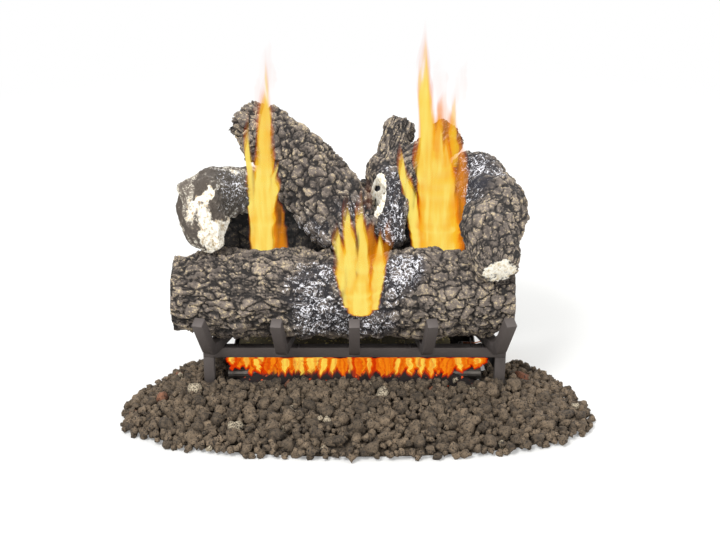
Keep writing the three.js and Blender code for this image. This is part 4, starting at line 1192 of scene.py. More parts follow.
@dataclass(eq=False)
class Spine:
    """Middle line of a bent log. Each entry is along, across, above and thickness, as shares."""

    entries: tuple[tuple[float, float, float, float], ...]
    radius: float
    seed: int
    samples: int = 200

    def __post_init__(self) -> None:
        """Works out the knots, and how far along the curve each sample lies."""
        table = np.array(self.entries)
        across, above = table[:, 1], table[:, 2]
        x = table[:, 0] * HALF_FRONT_LENGTH
        y = FRONT_Y + (REAR_Y - FRONT_Y) * across
        z = FRONT_TOP + (REAR_TOP - FRONT_TOP) * across + above * self.radius
        self.knots = np.stack([x, y, z], -1)
        self.shares = tuple(table[:, 3])
        self.steps = np.linspace(0, 1, self.samples + 1)
        line = self.at_knot(self.steps)
        gaps = np.linalg.norm(np.diff(line, axis=0), axis=-1)
        self.distances = np.concatenate([[0], np.cumsum(gaps)])
        self.length = float(self.distances[-1])

    def at_knot(self, place: Array) -> Array:
        """Points of a centripetal Catmull-Rom curve.

        Args:
            place: where, from 0 at the first knot to 1 at the last, with even steps from knot to
                knot.

        Returns:
            The points. The knots' spacing in the curve is the square root of their distance.
        """
        last = len(self.knots) - 1
        first, end = 2 * self.knots[0] - self.knots[1], 2 * self.knots[-1] - self.knots[-2]
        padded = np.vstack([first, self.knots, end])
        at = np.clip(place, 0, 1) * last
        i = np.minimum(at.astype(int), last - 1)
        w = (at - i)[:, None]
        p0, p1, p2, p3 = (padded[i + k] for k in range(4))
        d0, d1, d2 = (
            np.sqrt(np.linalg.norm(b - a, axis=-1))[:, None] for a, b in ((p0, p1), (p1, p2), (p2, p3))
        )
        t1 = ((p1 - p0) / d0 - (p2 - p0) / (d0 + d1) + (p2 - p1) / d1) * d1
        t2 = ((p2 - p1) / d1 - (p3 - p1) / (d1 + d2) + (p3 - p2) / d2) * d1
        return p1 + w * t1 + w**2 * (3 * (p2 - p1) - 2 * t1 - t2) + w**3 * (2 * (p1 - p2) + t1 + t2)

    def knot_of(self, place: Array) -> Array:
        """Knot place of a share of the curve's length."""
        return np.interp(place * self.length, self.distances, self.steps)

    def frames(self, place: Array) -> tuple[Array, Array, Array]:
        """Points of the line with two directions across it that don't twist.

        Args:
            place: shares of the curve's length, rising.

        Returns:
            Points, first and second directions. Each direction is the one before it, turned with
            the tangent by the rotation that takes one tangent to the next.
        """
        line = self.at_knot(self.knot_of(place))
        tangents = unit(np.gradient(line, axis=0))
        helper = np.eye(3)[np.argmin(np.abs(tangents[0]))]
        side = np.cross(tangents[0], unit(np.cross(tangents[0], helper)))
        normals = [side]
        for before, here in zip(tangents[:-1], tangents[1:]):
            axis, cosine = np.cross(before, here), float(np.dot(before, here))
            turned = normals[-1] * cosine + np.cross(axis, normals[-1])
            turned = turned + axis * np.dot(axis, normals[-1]) / (1 + cosine)
            normals.append(turned)
        normals = unit(np.array(normals))
        return line, normals, np.cross(tangents, normals)

    def thickness(self, place: Array) -> Array:
        """Radius along the curve before lumps and bark."""
        return self.radius * share_at(self.shares, self.knot_of(place))


@dataclass(frozen=True)
class Neighbour:
    """A log that another one leans against, with its relief and the gap in plan between them."""

    spine: Spine
    relief: float = 0.0035
    gap: float = 0.0035

    def push(self, points: Array, toward: Array) -> Array:
        """Moves points sideways out of the neighbour.

        Args:
            points: points of the leaning log, shape (..., 3).
            toward: a point on the side of the neighbour where they belong.

        Returns:
            The points. In plan, each keeps the neighbour's radius and the gap from its middle line.
        """
        place = np.linspace(0, 1, 90)
        line = self.spine.at_knot(self.spine.knot_of(place))
        reach = self.spine.thickness(place) + self.relief + self.gap
        flat = line[:, :2]
        heading = unit(np.gradient(flat, axis=0))
        across = np.stack([-heading[:, 1], heading[:, 0]], -1)
        middle = np.argmin(np.linalg.norm(flat - toward[:2], axis=-1))
        across = across * np.sign(np.dot(toward[:2] - flat[middle], across[middle]))
        shape = points.shape
        found = points.reshape(-1, 3).copy()
        near = np.argmin(((found[:, None, :2] - flat[None]) ** 2).sum(-1), axis=1)
        away = found[:, :2] - flat[near]
        lack = reach[near] - np.sum(away * across[near], -1)
        past = np.abs(np.sum(away * heading[near], -1))
        lack = np.where(past > self.gap, 0, np.clip(lack, 0, None))
        found[:, :2] += across[near] * lack[:, None]
        return found.reshape(shape)


@dataclass(frozen=True)
class Knot:
    """An open knot: a cream oval with a hole and a slit in it, which opens forward and upward. The hole and
    the slit are painted dark as painted shade.

    Its centre is in millimetres from the middle of the grate. The hole and the slit have a place
    across and up the oval, and half sizes."""

    centre: Triple
    half_width: float = 0.0122
    half_length: float = 0.036
    depth: float = 0.007
    hole_depth: float = 0.008
    rim_height: float = 0.002
    reach: float = 0.05
    wave_size: float = 0.009
    lean: float = 0.13
    slope: float = math.radians(22.5)
    hole: Triple = (-0.002, 0.017, 0.0052)
    slit: tuple[float, float, float, float] = (-0.003, -0.008, 0.0016, 0.011)

    def press(self, points: Array, masks: dict[str, Array], outward: Array) -> Array:
        """Presses the knot into a log.

        Args:
            points: the log's points, measured from the middle of the grate.
            masks: the log's masks, changed in place.
            outward: directions away from the log's middle line.

        Returns:
            The points. With e the elliptical distance from the knot's middle, seen along its
            opening, the rim at e = 1.05 rises and the inside sinks by depth * (1 - e^2).
        """
        opening = np.array([0, -math.cos(self.slope), math.sin(self.slope)])
        upward = np.array([0, math.sin(self.slope), math.cos(self.slope)])
        away = points - np.array(self.centre) * MM
        dz = away @ upward
        dx = away[..., 0] - self.lean * dz
        wave = fbm(points / self.wave_size, 3, 91)
        oval = np.hypot(dx / self.half_width, dz / self.half_length) + 0.12 * wave
        front = (np.abs(away @ opening) < self.reach) & (outward @ opening > -0.3)
        rim = np.exp(-(((oval - 1.05) / 0.22) ** 2))
        inside = np.clip(1 - oval**2, 0, 1)
        x, z, radius = self.hole
        hole = smoothstep(1.15, 0.8, np.hypot(dx - x, dz - z) / radius + 0.3 * wave)
        x, z, half_width, half_length = self.slit
        slit = np.hypot((dx - x) / half_width, (dz - z) / half_length)
        slit = smoothstep(1.2, 0.7, slit + 0.5 * wave)
        # Painted shade: the hole and the slit are painted dark, in the soot and relief masks, where they
        # sink in.
        dark = np.where(front, np.maximum(hole, 0.8 * slit), 0)
        shift = np.where(front, self.rim_height * rim - self.depth * inside, 0)
        shift = shift - self.hole_depth * dark
        cream = np.where(front, smoothstep(1.25, 1.1, oval), 0) * (1 - dark)
        masks["pale"] = np.where(front & (oval < 1.25), cream, masks["pale"])
        masks["char"] = np.maximum(masks["char"], dark)
        masks["relief"] = masks["relief"] * (1 - dark)
        masks["ash"] = masks["ash"] * (1 - np.maximum(dark, cream))
        return points + opening * shift[..., None]


@dataclass
class BentLog:
    """A round log along a curve. It lies over the lower logs and may lean beside another one."""

    name: str
    spines: tuple[Spine, ...]
    finish: BarkFinish
    slot: str
    bark: Bark
    far_bark: Bark | None = None
    far_shares: tuple[float, float] = (0.76, 0.84)
    rim_drop: float = 0.003
    rim_width: float = 0.007
    seat_gap: float = 0.0015
    spacing: float = 0.002
    patches: tuple[Patch, ...] = ()
    stubs: tuple[Stub, ...] = ()
    ends: tuple[tuple[EndCut, EndCut], ...] = ((EndCut(), EndCut()),)
    neighbours: tuple[Neighbour, ...] = ()
    knot: Knot | None = None

    def limb(
        self, spine: Spine, lower: tuple[LyingLog, ...], ends: tuple[EndCut, EndCut]
    ) -> tuple[Array, dict[str, Array], int, int]:
        """One limb of the log.

        Args:
            spine: its middle line.
            lower: the logs that it lies on.
            ends: the look of its two ends.

        Returns:
            Its points, their masks, and how many rings and sides it has. Round the line the limb
            is P(d) + (r(d) + lumps + bark) (cos(a) N + sin(a) B), lifted off the lower logs.
        """
        rings = int(spine.length / self.spacing)
        sides = int(TAU * spine.radius / self.spacing)
        place = np.linspace(0, 1, rings)
        line, first, second = spine.frames(place)
        share, angle = np.meshgrid(place, np.arange(sides) * TAU / sides, indexing="ij")
        distance = share * spine.length
        outward = np.cos(angle)[..., None] * first[:, None] + np.sin(angle)[..., None] * second[:, None]
        round_x, round_y = spine.radius * np.cos(angle), spine.radius * np.sin(angle)
        coat = grow_bark(self.bark.value, distance, round_x, round_y, spine.seed * 17)
        if self.far_bark:
            far = grow_bark(self.far_bark.value, distance, round_x, round_y, spine.seed * 19)
            coat = blend_coats(coat, far, smoothstep(*self.far_shares, share))
        rim = np.minimum(distance, spine.length - distance)
        reach = spine.thickness(place)[:, None] + plain_relief(angle, distance, spine.seed)
        reach = reach + coat.height - self.rim_drop * (1 - smoothstep(0.0, self.rim_width, rim))
        points = line[:, None] + outward * reach[..., None]
        masks = {"relief": coat.relief, "crest": coat.crest}
        masks |= paint(self.patches, points, spine.seed)
        for stub in self.stubs:
            points = points + outward * stub.rise(points)[..., None]
        for neighbour in self.neighbours:
            points = neighbour.push(points, line.mean(0))
        if self.knot:
            points = self.knot.press(points, masks, outward)
        for beneath in lower:
            level = beneath.top(points[..., 0], points[..., 1]) + self.seat_gap
            points[..., 2] = np.maximum(points[..., 2], level)
        closed, all_masks = Skin(points, masks).close(ends, self.spacing * 1.5, spine.seed)
        return closed, all_masks, (len(closed) - 2) // sides, sides

    def build(self, layout: Layout, lower: tuple[LyingLog, ...]) -> None:
        """Makes the log with all its limbs and dresses it.

        Args:
            layout: where the grate lies.
            lower: the logs that it lies on.
        """
        points, masks, faces, used = [], {}, [], 0
        for spine, ends in zip(self.spines, self.ends):
            closed, found, rings, sides = self.limb(spine, lower, ends)
            faces += [part + used for part in capped_faces(rings, sides)]
            used += len(closed)
            points.append(closed)
            for name, value in found.items():
                masks.setdefault(name, []).append(value)
        made = make_mesh(f"{self.name}_bark", np.concatenate(points) + layout.shift, faces)
        set_attributes(made, {name: np.concatenate(parts) for name, parts in masks.items()})
        dress(made.data, self.finish.material())
        place_piece(made, self.name, (self.name,))


@dataclass
class Logs:
    """The six logs: two that lie on the grate and four that lie over them."""

    dark: BarkFinish = BarkFinish("painted_bark")
    # A darker copy of the bark: painted shade for the rear log, which lies in the shadow of the others.
    sooty: BarkFinish = BarkFinish("sooty_bark", "0d0c0c", "2a2624", "3e3835", crust_amount=0.2)
    split: BarkFinish = BarkFinish(
        "split_wood_bark", "544b43", "746a60", "9a8f82", "e6dfcd", 0.85, "4a4640",
        pale_dark="a58d66", bump=0.0058, crust_level=2.62,
    )
    birch_line: Spine = Spine(
        (
            (-0.801, -0.043, 0.16, 0.42), (-0.868, 0.0, 0.94, 0.76), (-0.887, 0.185, 1.39, 1.07),
            (-0.755, 0.467, 1.08, 1.0), (-0.641, 0.674, 0.53, 0.93),
        ),
        radius=0.045, seed=2,
    )
    big_line: Spine = Spine(
        (
            (0.032, 0.109, -0.04, 0.9), (-0.166, 0.511, 0.46, 1.15), (-0.422, 0.984, 1.0, 1.0),
            (-0.688, 1.364, 1.21, 0.7),
        ),
        radius=0.060, seed=3,
    )
    stem_line: Spine = Spine(
        (
            (0.25, 0.098, -0.06, 0.43), (0.176, 0.402, 0.64, 1.02), (0.221, 0.739, 0.97, 1.1),
            (0.242, 1.065, 1.33, 0.74), (0.289, 1.337, 1.66, 0.64),
        ),
        radius=0.042, seed=5,
    )
    prong_line: Spine = Spine(
        (
            (0.232, 0.63, 0.8, 0.86), (0.325, 0.804, 1.0, 0.9), (0.464, 1.038, 1.18, 0.86),
            (0.595, 1.283, 1.35, 0.79),
        ),
        radius=0.042, seed=6,
    )
    crook_line: Spine = Spine(
        (
            (0.66, 1.011, 0.55, 0.72), (0.765, 0.793, 0.58, 1.0), (0.832, 0.359, 0.66, 1.2),
            (0.8, 0.0, 0.7, 1.12), (0.813, -0.261, 0.38, 0.92), (0.825, -0.402, 0.34, 0.72),
        ),
        radius=0.048, seed=7,
    )

    def lower(self) -> tuple[LyingLog, ...]:
        """The logs that lie on the grate.

        Returns:
            The front log, with two kinds of bark and a burnt notch, and the rear log.
        """
        front = LyingLog(
            "front_log", length=0.598, height=0.160, depth=0.154, x=-0.020, y=FRONT_Y,
            shares=(0.86, 0.97, 1, 0.99, 1, 0.98, 1, 0.99, 0.96, 0.85), seed=1, finish=self.dark,
            slot="dark_bark", bark=(Bark.LAYERED, Bark.BLOCKY), change_x=0.025, notch=Notch(),
            patches=Mark.ASH.at(
                27, 0.75, (-93, -150, 271), (-72, -160, 251), (-96, -165, 226), (-59, -165, 207),
                (-85, -160, 176), (-69, -150, 143), (-34, -155, 161), (-42, -145, 269),
            )
            + Mark.ASH.at(
                22, 0.65, (-8, -150, 153), (53, -155, 174), (45, -150, 134), (27, -150, 153),
                (60, -150, 240),
            )
            + Mark.ASH.at(
                19, 0.8, (66, -120, 254), (83, -118, 257), (101, -120, 252), (68, -137, 240),
                (86, -142, 240), (75, -151, 222),
            )
            + Mark.CHAR.at(34, 1.0, (12, -150, 200), (12, -130, 240))
            + Mark.PALE.at(9, 1.3, (235, -158, 157)),
        )
        rear = LyingLog(
            "rear_log", length=0.556, height=0.224, depth=0.150, x=0.004, y=REAR_Y,
            # The darker copy of the bark, as painted shade.
            shares=(0.82, 0.97, 1, 0.98, 1, 1, 0.97, 1, 0.95, 0.8), seed=4, finish=self.sooty,
            slot="rear_bark", bark=(Bark.CHARRED, Bark.CHARRED), spacing=0.0026,
            furrows=Furrows(depth=0.006, ring=0.556 / 36),
        )
        return front, rear

    def upper(self) -> tuple[BentLog, ...]:
        """The logs that lie over them.

        Returns:
            The log with a split pale face, the big one, the forked one and the crooked one.
        """
        beside_big = (Neighbour(self.big_line),)
        birch = BentLog(
            "birch_log", (self.birch_line,), self.split, "split_bark", Bark.WRINKLED,
            patches=Mark.PALE.at(
                17, 1.3, (-271, -95, 345), (-256, -110, 327), (-239, -118, 306), (-222, -105, 312),
                (-216, -95, 290), (-239, -112, 276), (-228, -110, 262), (-250, -118, 296),
            )
            + Mark.PALE.at(
                7, 1.3, (-228, -15, 387), (-215, -10, 389), (-202, -7, 390), (-190, -5, 390)
            )
            + Mark.PALE.at(8, 1.3, (-253, -85, 378), (-258, -92, 366))
            + Mark.PALE.at(15, 1.3, (-208, -85, 318), (-212, -92, 300))
            + Mark.ASH.at(
                26, 0.75, (-235, -60, 352), (-212, -40, 358), (-225, -30, 375), (-205, -20, 345)
            ),
            stubs=(Stub((-295, -70, 381), 18, 12), Stub((-211, -78, 316), 22, 8)),
            ends=((EndCut(pale=1.0), EndCut()),),
            neighbours=beside_big,
        )
        big = BentLog(
            "big_log", (self.big_line,), self.dark, "dark_bark", Bark.KNOBBLY,
            far_bark=Bark.CHUNKY,
            patches=Mark.ASH.at(
                28, 0.6, (-62, 0, 349), (-35, -20, 327), (-17, -50, 301), (-77, 0, 301),
                (-99, 10, 278), (1, -50, 320), (-43, -60, 280), (-58, -30, 293),
            ),
            ends=((EndCut(), EndCut(rough=0.012)),),
        )
        fork = BentLog(
            "fork_log", (self.stem_line, self.prong_line), self.dark, "dark_bark", Bark.STRINGY,
            patches=Mark.ASH.at(
                24, 0.65, (63, -20, 346), (71, -50, 320), (76, -90, 297), (79, -100, 273),
                (54, -40, 335), (48, -60, 300), (60, -70, 285), (66, 0, 372),
            ),
            ends=((EndCut(), EndCut(rough=0.006)), (EndCut(), EndCut(rough=0.006))),
            neighbours=beside_big,
            knot=Knot((41, 0, 334)),
        )
        crook = BentLog(
            "crook_log", (self.crook_line,), self.dark, "dark_bark", Bark.LUMPY,
            patches=Mark.ASH.at(
                22, 0.75, (196, 55, 378), (210, 18, 378), (228, 17, 384), (243, -5, 384),
                (236, 48, 386),
            )
            + Mark.ASH.at(16, 0.75, (197, -23, 345), (212, -52, 354), (192, 5, 338))
            + Mark.CHAR.at(20, 0.95, (205, -13, 361), (222, -35, 368)),
            stubs=(Stub((306, -30, 308), 13, 8),),
            ends=((EndCut(), EndCut(rough=0.0015, bulge=0.003, pale=1.0)),),
            neighbours=(Neighbour(self.prong_line),),
        )
        return birch, big, fork, crook

    def build(self, layout: Layout) -> None:
        """Makes all the logs.

        Args:
            layout: where the grate lies.
        """
        lower = self.lower()
        for lying in lower:
            lying.build(layout)
        for bent in self.upper():
            bent.build(layout, lower)


# Loose material


@dataclass(frozen=True)
class GrainShape:
    """How broken a grain is: how many flat faces it has and how fine the ball is that it starts
    as, and as shares of its half size how it is squashed, where it is cut and how rough it is."""

    cuts: int
    subdivisions: int
    squash: tuple[float, float] = (0.72, 1.12)
    cut: tuple[float, float] = (0.5, 0.8)
    roughness: float = 0.16
    roughest: float = 1.5


def scatter_grains(
    name: str, centres: Array, sizes: Array, grain: GrainShape, seed: int
) -> tuple[bpy.types.Object, Array]:
    """Many broken grains in one mesh.

    Args:
        name: the object's name.
        centres: where they lie, shape (n, 3).
        sizes: their half sizes, shape (n,).
        grain: how broken they are.
        seed: of their shapes.

    Returns:
        The object, and for each of its points the number of its grain. A grain is a ball that is
        squashed, cut by random planes p.n = c, roughened and turned.
    """
    rng = np.random.default_rng(seed)
    points, faces = ball(grain.subdivisions)
    count = len(centres)
    shape = np.repeat(points[None], count, 0)
    shape = shape * rng.uniform(*grain.squash, (count, 1, 3))
    for _ in range(grain.cuts):
        normal = unit(rng.normal(size=(count, 1, 3)))
        reach = np.sum(shape * normal, -1, keepdims=True)
        over = np.clip(reach - rng.uniform(*grain.cut, (count, 1, 1)), 0, None)
        shape = shape - over * normal
    swell = rng.normal(size=(count, len(points), 1)).clip(-grain.roughest, grain.roughest)
    shape = shape * (1 + grain.roughness * swell)
    first = unit(rng.normal(size=(count, 3)))
    second = unit(np.cross(first, rng.normal(size=(count, 3))))
    turn = np.stack([first, second, np.cross(first, second)], -1)
    turned = np.einsum("nij,nkj->nki", turn, shape)
    placed = centres[:, None] + turned * sizes[:, None, None]
    placed[..., 2] = np.maximum(placed[..., 2], 0.0)
    index = (faces[None] + (np.arange(count) * len(points))[:, None, None]).reshape(-1, 3)
    made = make_mesh(name, placed.reshape(-1, 3), [index])
    return made, np.repeat(np.arange(count), len(points))


@dataclass
class RockBed:
    """Loose lava rock round the burner, in a wide oval heap that falls away to its rim."""

    centre: tuple[float, float] = (0.005, -0.225)
    half_length: float = 0.414
    front_depth: float = 0.131
    rear_depth: float = 0.322
    front_power: float = 0.9
    rim_level: float = 0.011
    crown_level: float = 0.036
    spacing: float = 0.0128
    pocket_half: float = 0.2292
    pocket_right: float = 0.2788
    pocket_front: float = -0.1197
    pocket_step: float = -0.0487
    leg_x: float = 0.261
    leg_half: float = 0.011
    stones: int = 92
    stone_size: float = 0.0145
    stone_reach_share: float = 0.88
    stone_clearance: float = 0.003
    rock_sizes: tuple[float, ...] = (0.0058, 0.0074, 0.0092, 0.0118)
    rock_size_shares: tuple[float, ...] = (0.3, 0.38, 0.22, 0.1)
    size_spread: tuple[float, float] = (0.9, 1.1)
    overhang_share: float = 0.4
    nestled_share: float = 0.8
    upper_reach_share: float = 0.97
    resting_share: float = 0.62
    jitter_share: float = 0.34
    layer_lifts: tuple[float, float] = (-0.007, -0.001)
    level_jitter: float = 0.003
    lattice_shift: float = 0.1
    lattice_overrun: float = 0.02
    row_share: float = 0.87
    lower_spacing_share: float = 1.08
    base_rim_shares: tuple[float, float] = (0.75, 0.97)
    base_drawn_share: float = 0.09
    base_height_share: float = 0.55
    rusty_share: float = 0.007
    chalky_share: float = 0.015
    rust_strength: float = 0.6
    chalk_strength: float = 0.7
    seed: int = 31
    finish: RockFinish = RockFinish("crushed_lava_rock")

    def share(self, x: Array, y: Array) -> Array:
        """How far out a point of the plan lies.

        Args:
            x: its place across.
            y: its place up the plan.

        Returns:
            0 at the middle and 1 on the rim. The front half of the rim is
            |x / a|^(2/p) + |y / b|^(2/p) = 1, and the rear half an ellipse.
        """
        dx, dy = (x - self.centre[0]) / self.half_length, y - self.centre[1]
        power = 2 / self.front_power
        front = np.abs(dx) ** power + np.abs(dy / self.front_depth) ** power
        front = front ** (self.front_power / 2)
        rear = np.sqrt(dx**2 + (dy / self.rear_depth) ** 2)
        return np.where(dy < 0, front, rear)

    def level(self, x: Array, y: Array) -> Array:
        """Height of the heap: crown - (crown - rim) * share^3."""
        share = np.clip(self.share(x, y), 0, 1)
        return self.rim_level + (self.crown_level - self.rim_level) * (1 - share**3)

    def blocked(self, x: Array, y: Array, margin: Array) -> Array:
        """Whether a rock would reach into the burner's pocket or a grate leg.

        Args:
            x: its place across.
            y: its place up the plan.
            margin: its half size.

        Returns:
            True where it would.
        """
        right = np.where(y > self.pocket_step, self.pocket_right, self.pocket_half)
        pocket = (x > -self.pocket_half - margin) & (x < right + margin)
        pocket &= y > self.pocket_front - margin
        legs = np.abs(np.abs(x) - self.leg_x) < self.leg_half + margin
        legs &= np.abs(y - FRONT_RAIL_Y) < self.leg_half + margin
        return pocket | legs

    def main_stones(self) -> tuple[Array, Array]:
        """Lays the main stones on a sunflower spiral.

        Returns:
            Their places and half sizes. Stone k of n lies at sqrt((k + 1/2) / n) of the way to the
            last one, near the rim, and is turned k times by the golden angle pi (3 - sqrt(5)).
        """
        k = np.arange(self.stones)
        share = self.stone_reach_share * np.sqrt((k + 0.5) / self.stones)
        angle = k * math.pi * (3 - math.sqrt(5))
        front = np.sin(angle) < 0
        power = np.where(front, self.front_power, 1.0)
        depth = np.where(front, self.front_depth, self.rear_depth)
        rim_x = np.sign(np.cos(angle)) * np.abs(np.cos(angle)) ** power * self.half_length
        rim_y = np.sign(np.sin(angle)) * np.abs(np.sin(angle)) ** power * depth
        x, y = self.centre[0] + share * rim_x, self.centre[1] + share * rim_y
        size = np.full(x.shape, self.stone_size)
        keep = ~self.blocked(x, y, size + self.stone_clearance)
        z = self.level(x, y) + self.layer_lifts[1]
        return np.stack([x, y, z], -1)[keep], size[keep]

    def places(self, rng: np.random.Generator, layer: int) -> tuple[Array, Array]:
        """Lays one layer of rocks on a jittered triangular lattice.

        Args:
            rng: where the jitter and the sizes are drawn from.
            layer: 0 for the lower one, 1 for the upper one, which leaves out the main stones.

        Returns:
            Their places and half sizes.
        """
        step = self.spacing * (1.0 if layer else self.lower_spacing_share)
        reach = self.half_length + self.lattice_overrun
        rows = np.arange(-reach, reach, step * self.row_share)
        columns = np.arange(-reach, reach, step)
        x, y = np.meshgrid(columns, rows, indexing="ij")
        x = x + (np.arange(len(rows)) % 2)[None] * step / 2 + layer * step / 3
        x, y = x.ravel() + self.centre[0], y.ravel() + self.centre[1] + self.lattice_shift
        x = x + rng.uniform(-self.jitter_share, self.jitter_share, x.shape) * step
        y = y + rng.uniform(-self.jitter_share, self.jitter_share, y.shape) * step
        size = rng.choice(self.rock_sizes, x.shape, p=self.rock_size_shares)
        size = size * rng.uniform(*self.size_spread, x.shape)
        depth = np.where(y > self.centre[1], self.rear_depth, self.front_depth)
        rim = 1 - self.overhang_share * size / depth
        keep = (self.share(x, y) < rim) & ~self.blocked(x, y, size)
        if layer:
            stones, _ = self.main_stones()
            gap = np.hypot(x[:, None] - stones[None, :, 0], y[:, None] - stones[None, :, 1]).min(1)
            keep &= gap > self.nestled_share * size + self.nestled_share * self.stone_size
            keep &= self.share(x, y) < self.upper_reach_share
        x, y, size = x[keep], y[keep], size[keep]
        sway = rng.uniform(-self.level_jitter, self.level_jitter, x.shape)
        z = np.maximum(self.level(x, y) + self.layer_lifts[layer] + sway, size * self.resting_share)
        return np.stack([x, y, z], -1), size

    def base(self, layout: Layout, frame: dict, material: Material) -> None:
        """A copy of the CAD heap, lower and with its rim drawn in, under the rocks.

        Args:
            layout: where the grate lies.
            material: the rocks' material.
        """
        source = frame["nodes"]["lava_rock_bed"]
        made = add_object("lava_rock_base", source.data.copy())
        points = np.array([v.co[:] for v in made.data.vertices])
        middle = (points.min(0) + points.max(0)) / 2
        place = points - layout.shift
        outward = smoothstep(*self.base_rim_shares, self.share(place[:, 0], place[:, 1]))
        drawn = 1 - self.base_drawn_share * outward
        points[:, :2] = middle[:2] + (points[:, :2] - middle[:2]) * drawn[:, None]
        points[:, 2] *= self.base_height_share
        made.data.vertices.foreach_set("co", points.astype(np.float32).ravel())
        made.data.update()
        set_attributes(made, dict.fromkeys(("tint", "rust", "chalk"), np.zeros(len(points))))
        dress(made.data, material)
        place_piece(made, "burner", ("lava_rock_bed",))

    def build(self, layout: Layout, frame: dict) -> None:
        """Makes the base and two layers of rocks over it.

        Args:
            layout: where the grate lies.
        """
        rng = np.random.default_rng(self.seed)
        material = self.finish.material()
        self.base(layout, frame, material)
        for layer in range(2):
            centres, sizes = self.places(rng, layer)
            if layer:
                stones, stone_sizes = self.main_stones()
                centres = np.concatenate([centres, stones])
                sizes = np.concatenate([sizes, stone_sizes])
            made, owner = scatter_grains(
                f"lava_rocks_{'upper' if layer else 'lower'}", centres + layout.shift, sizes,
                GrainShape(cuts=7, subdivisions=2), self.seed + layer,
            )
            tint = rng.uniform(0, 1, len(centres))
            rust = (rng.uniform(0, 1, len(centres)) > 1 - self.rusty_share) * self.rust_strength
            chalk = (rng.uniform(0, 1, len(centres)) > 1 - self.chalky_share) * self.chalk_strength
            set_attributes(made, {"tint": tint[owner], "rust": rust[owner], "chalk": chalk[owner]})
            dress(made.data, material)
            place_piece(made, "burner")


@dataclass(frozen=True)
class GranuleHeap:
    """Granules over an ember bed of the CAD model, which takes their finish."""

    node: str
    name: str
    finish: GranuleFinish
    slot: str
    count: int
    seed: int
    size: tuple[float, float] = (0.0018, 0.0042)
    sunk_share: float = 0.55
    steepest: float = -0.05

    def build(self) -> None:
        """Spreads granules over the heap's upper faces, where each face gets its share by area.

        A granule lies at a random point a + s (b - a) + t (c - a) of a triangle.
        """
        rng = np.random.default_rng(self.seed)
        mesh = bpy.data.objects[self.node].data
        mesh.calc_loop_triangles()
        corners = np.array([v.co[:] for v in mesh.vertices])
        index = np.array([t.vertices[:] for t in mesh.loop_triangles])
        a, b, c = (corners[index[:, k]] for k in range(3))
        normal = np.cross(b - a, c - a)
        area = np.linalg.norm(normal, axis=-1)
        upward = normal[:, 2] / np.maximum(area, 1e-12)
        weight = np.where(upward > self.steepest, area, 0)
        chosen = rng.choice(len(index), self.count, p=weight / weight.sum())
        s, t = rng.uniform(0, 1, (2, self.count))
        s, t = np.where(s + t > 1, 1 - s, s), np.where(s + t > 1, 1 - t, t)
        spots = a[chosen] + s[:, None] * (b - a)[chosen] + t[:, None] * (c - a)[chosen]
        sizes = rng.uniform(*self.size, self.count)
        centres = spots - unit(normal[chosen]) * (sizes * self.sunk_share)[:, None]
        grain = GrainShape(cuts=4, subdivisions=1)
        made, owner = scatter_grains(self.name, centres, sizes, grain, self.seed + 1)
        set_attributes(made, {"tint": rng.uniform(0, 1, self.count)[owner]})
        material = self.finish.material()
        dress(made.data, material)
        dress(mesh, material)
        place_piece(made, "burner")


@dataclass
class Embers:
    """Granules over the burner pan, and glowing ones over the front tube."""

    rear: GranuleHeap = GranuleHeap(
        "rear_ember_bed", "ember_granules", GranuleFinish("ember_grains", "5a5136", "b5a56e"),
        "ember_granules", count=1500, seed=43,
    )
    front: GranuleHeap = GranuleHeap(
        "front_ember_bed", "glowing_embers", GranuleFinish("hot_ember_grains", "120a08", "5c2618", 0.9),
        "glowing_embers", count=700, seed=47,
    )

    def build(self) -> None:
        """Makes both heaps."""
        self.rear.build()
        self.front.build()


# Metal


def paint_slot(frame: dict, slot: str, material: Material) -> None:
    """Gives the CAD nodes that are shown with a slot's material another one.

    Args:
        slot: the record's material slot.
        material: the new material.
    """
    meshes = [node.data for node in frame["nodes"].values() if slot in node.data.materials]
    for mesh in meshes:
        dress(mesh, material)
    log.info("%s on %d nodes", material.name, len(meshes))


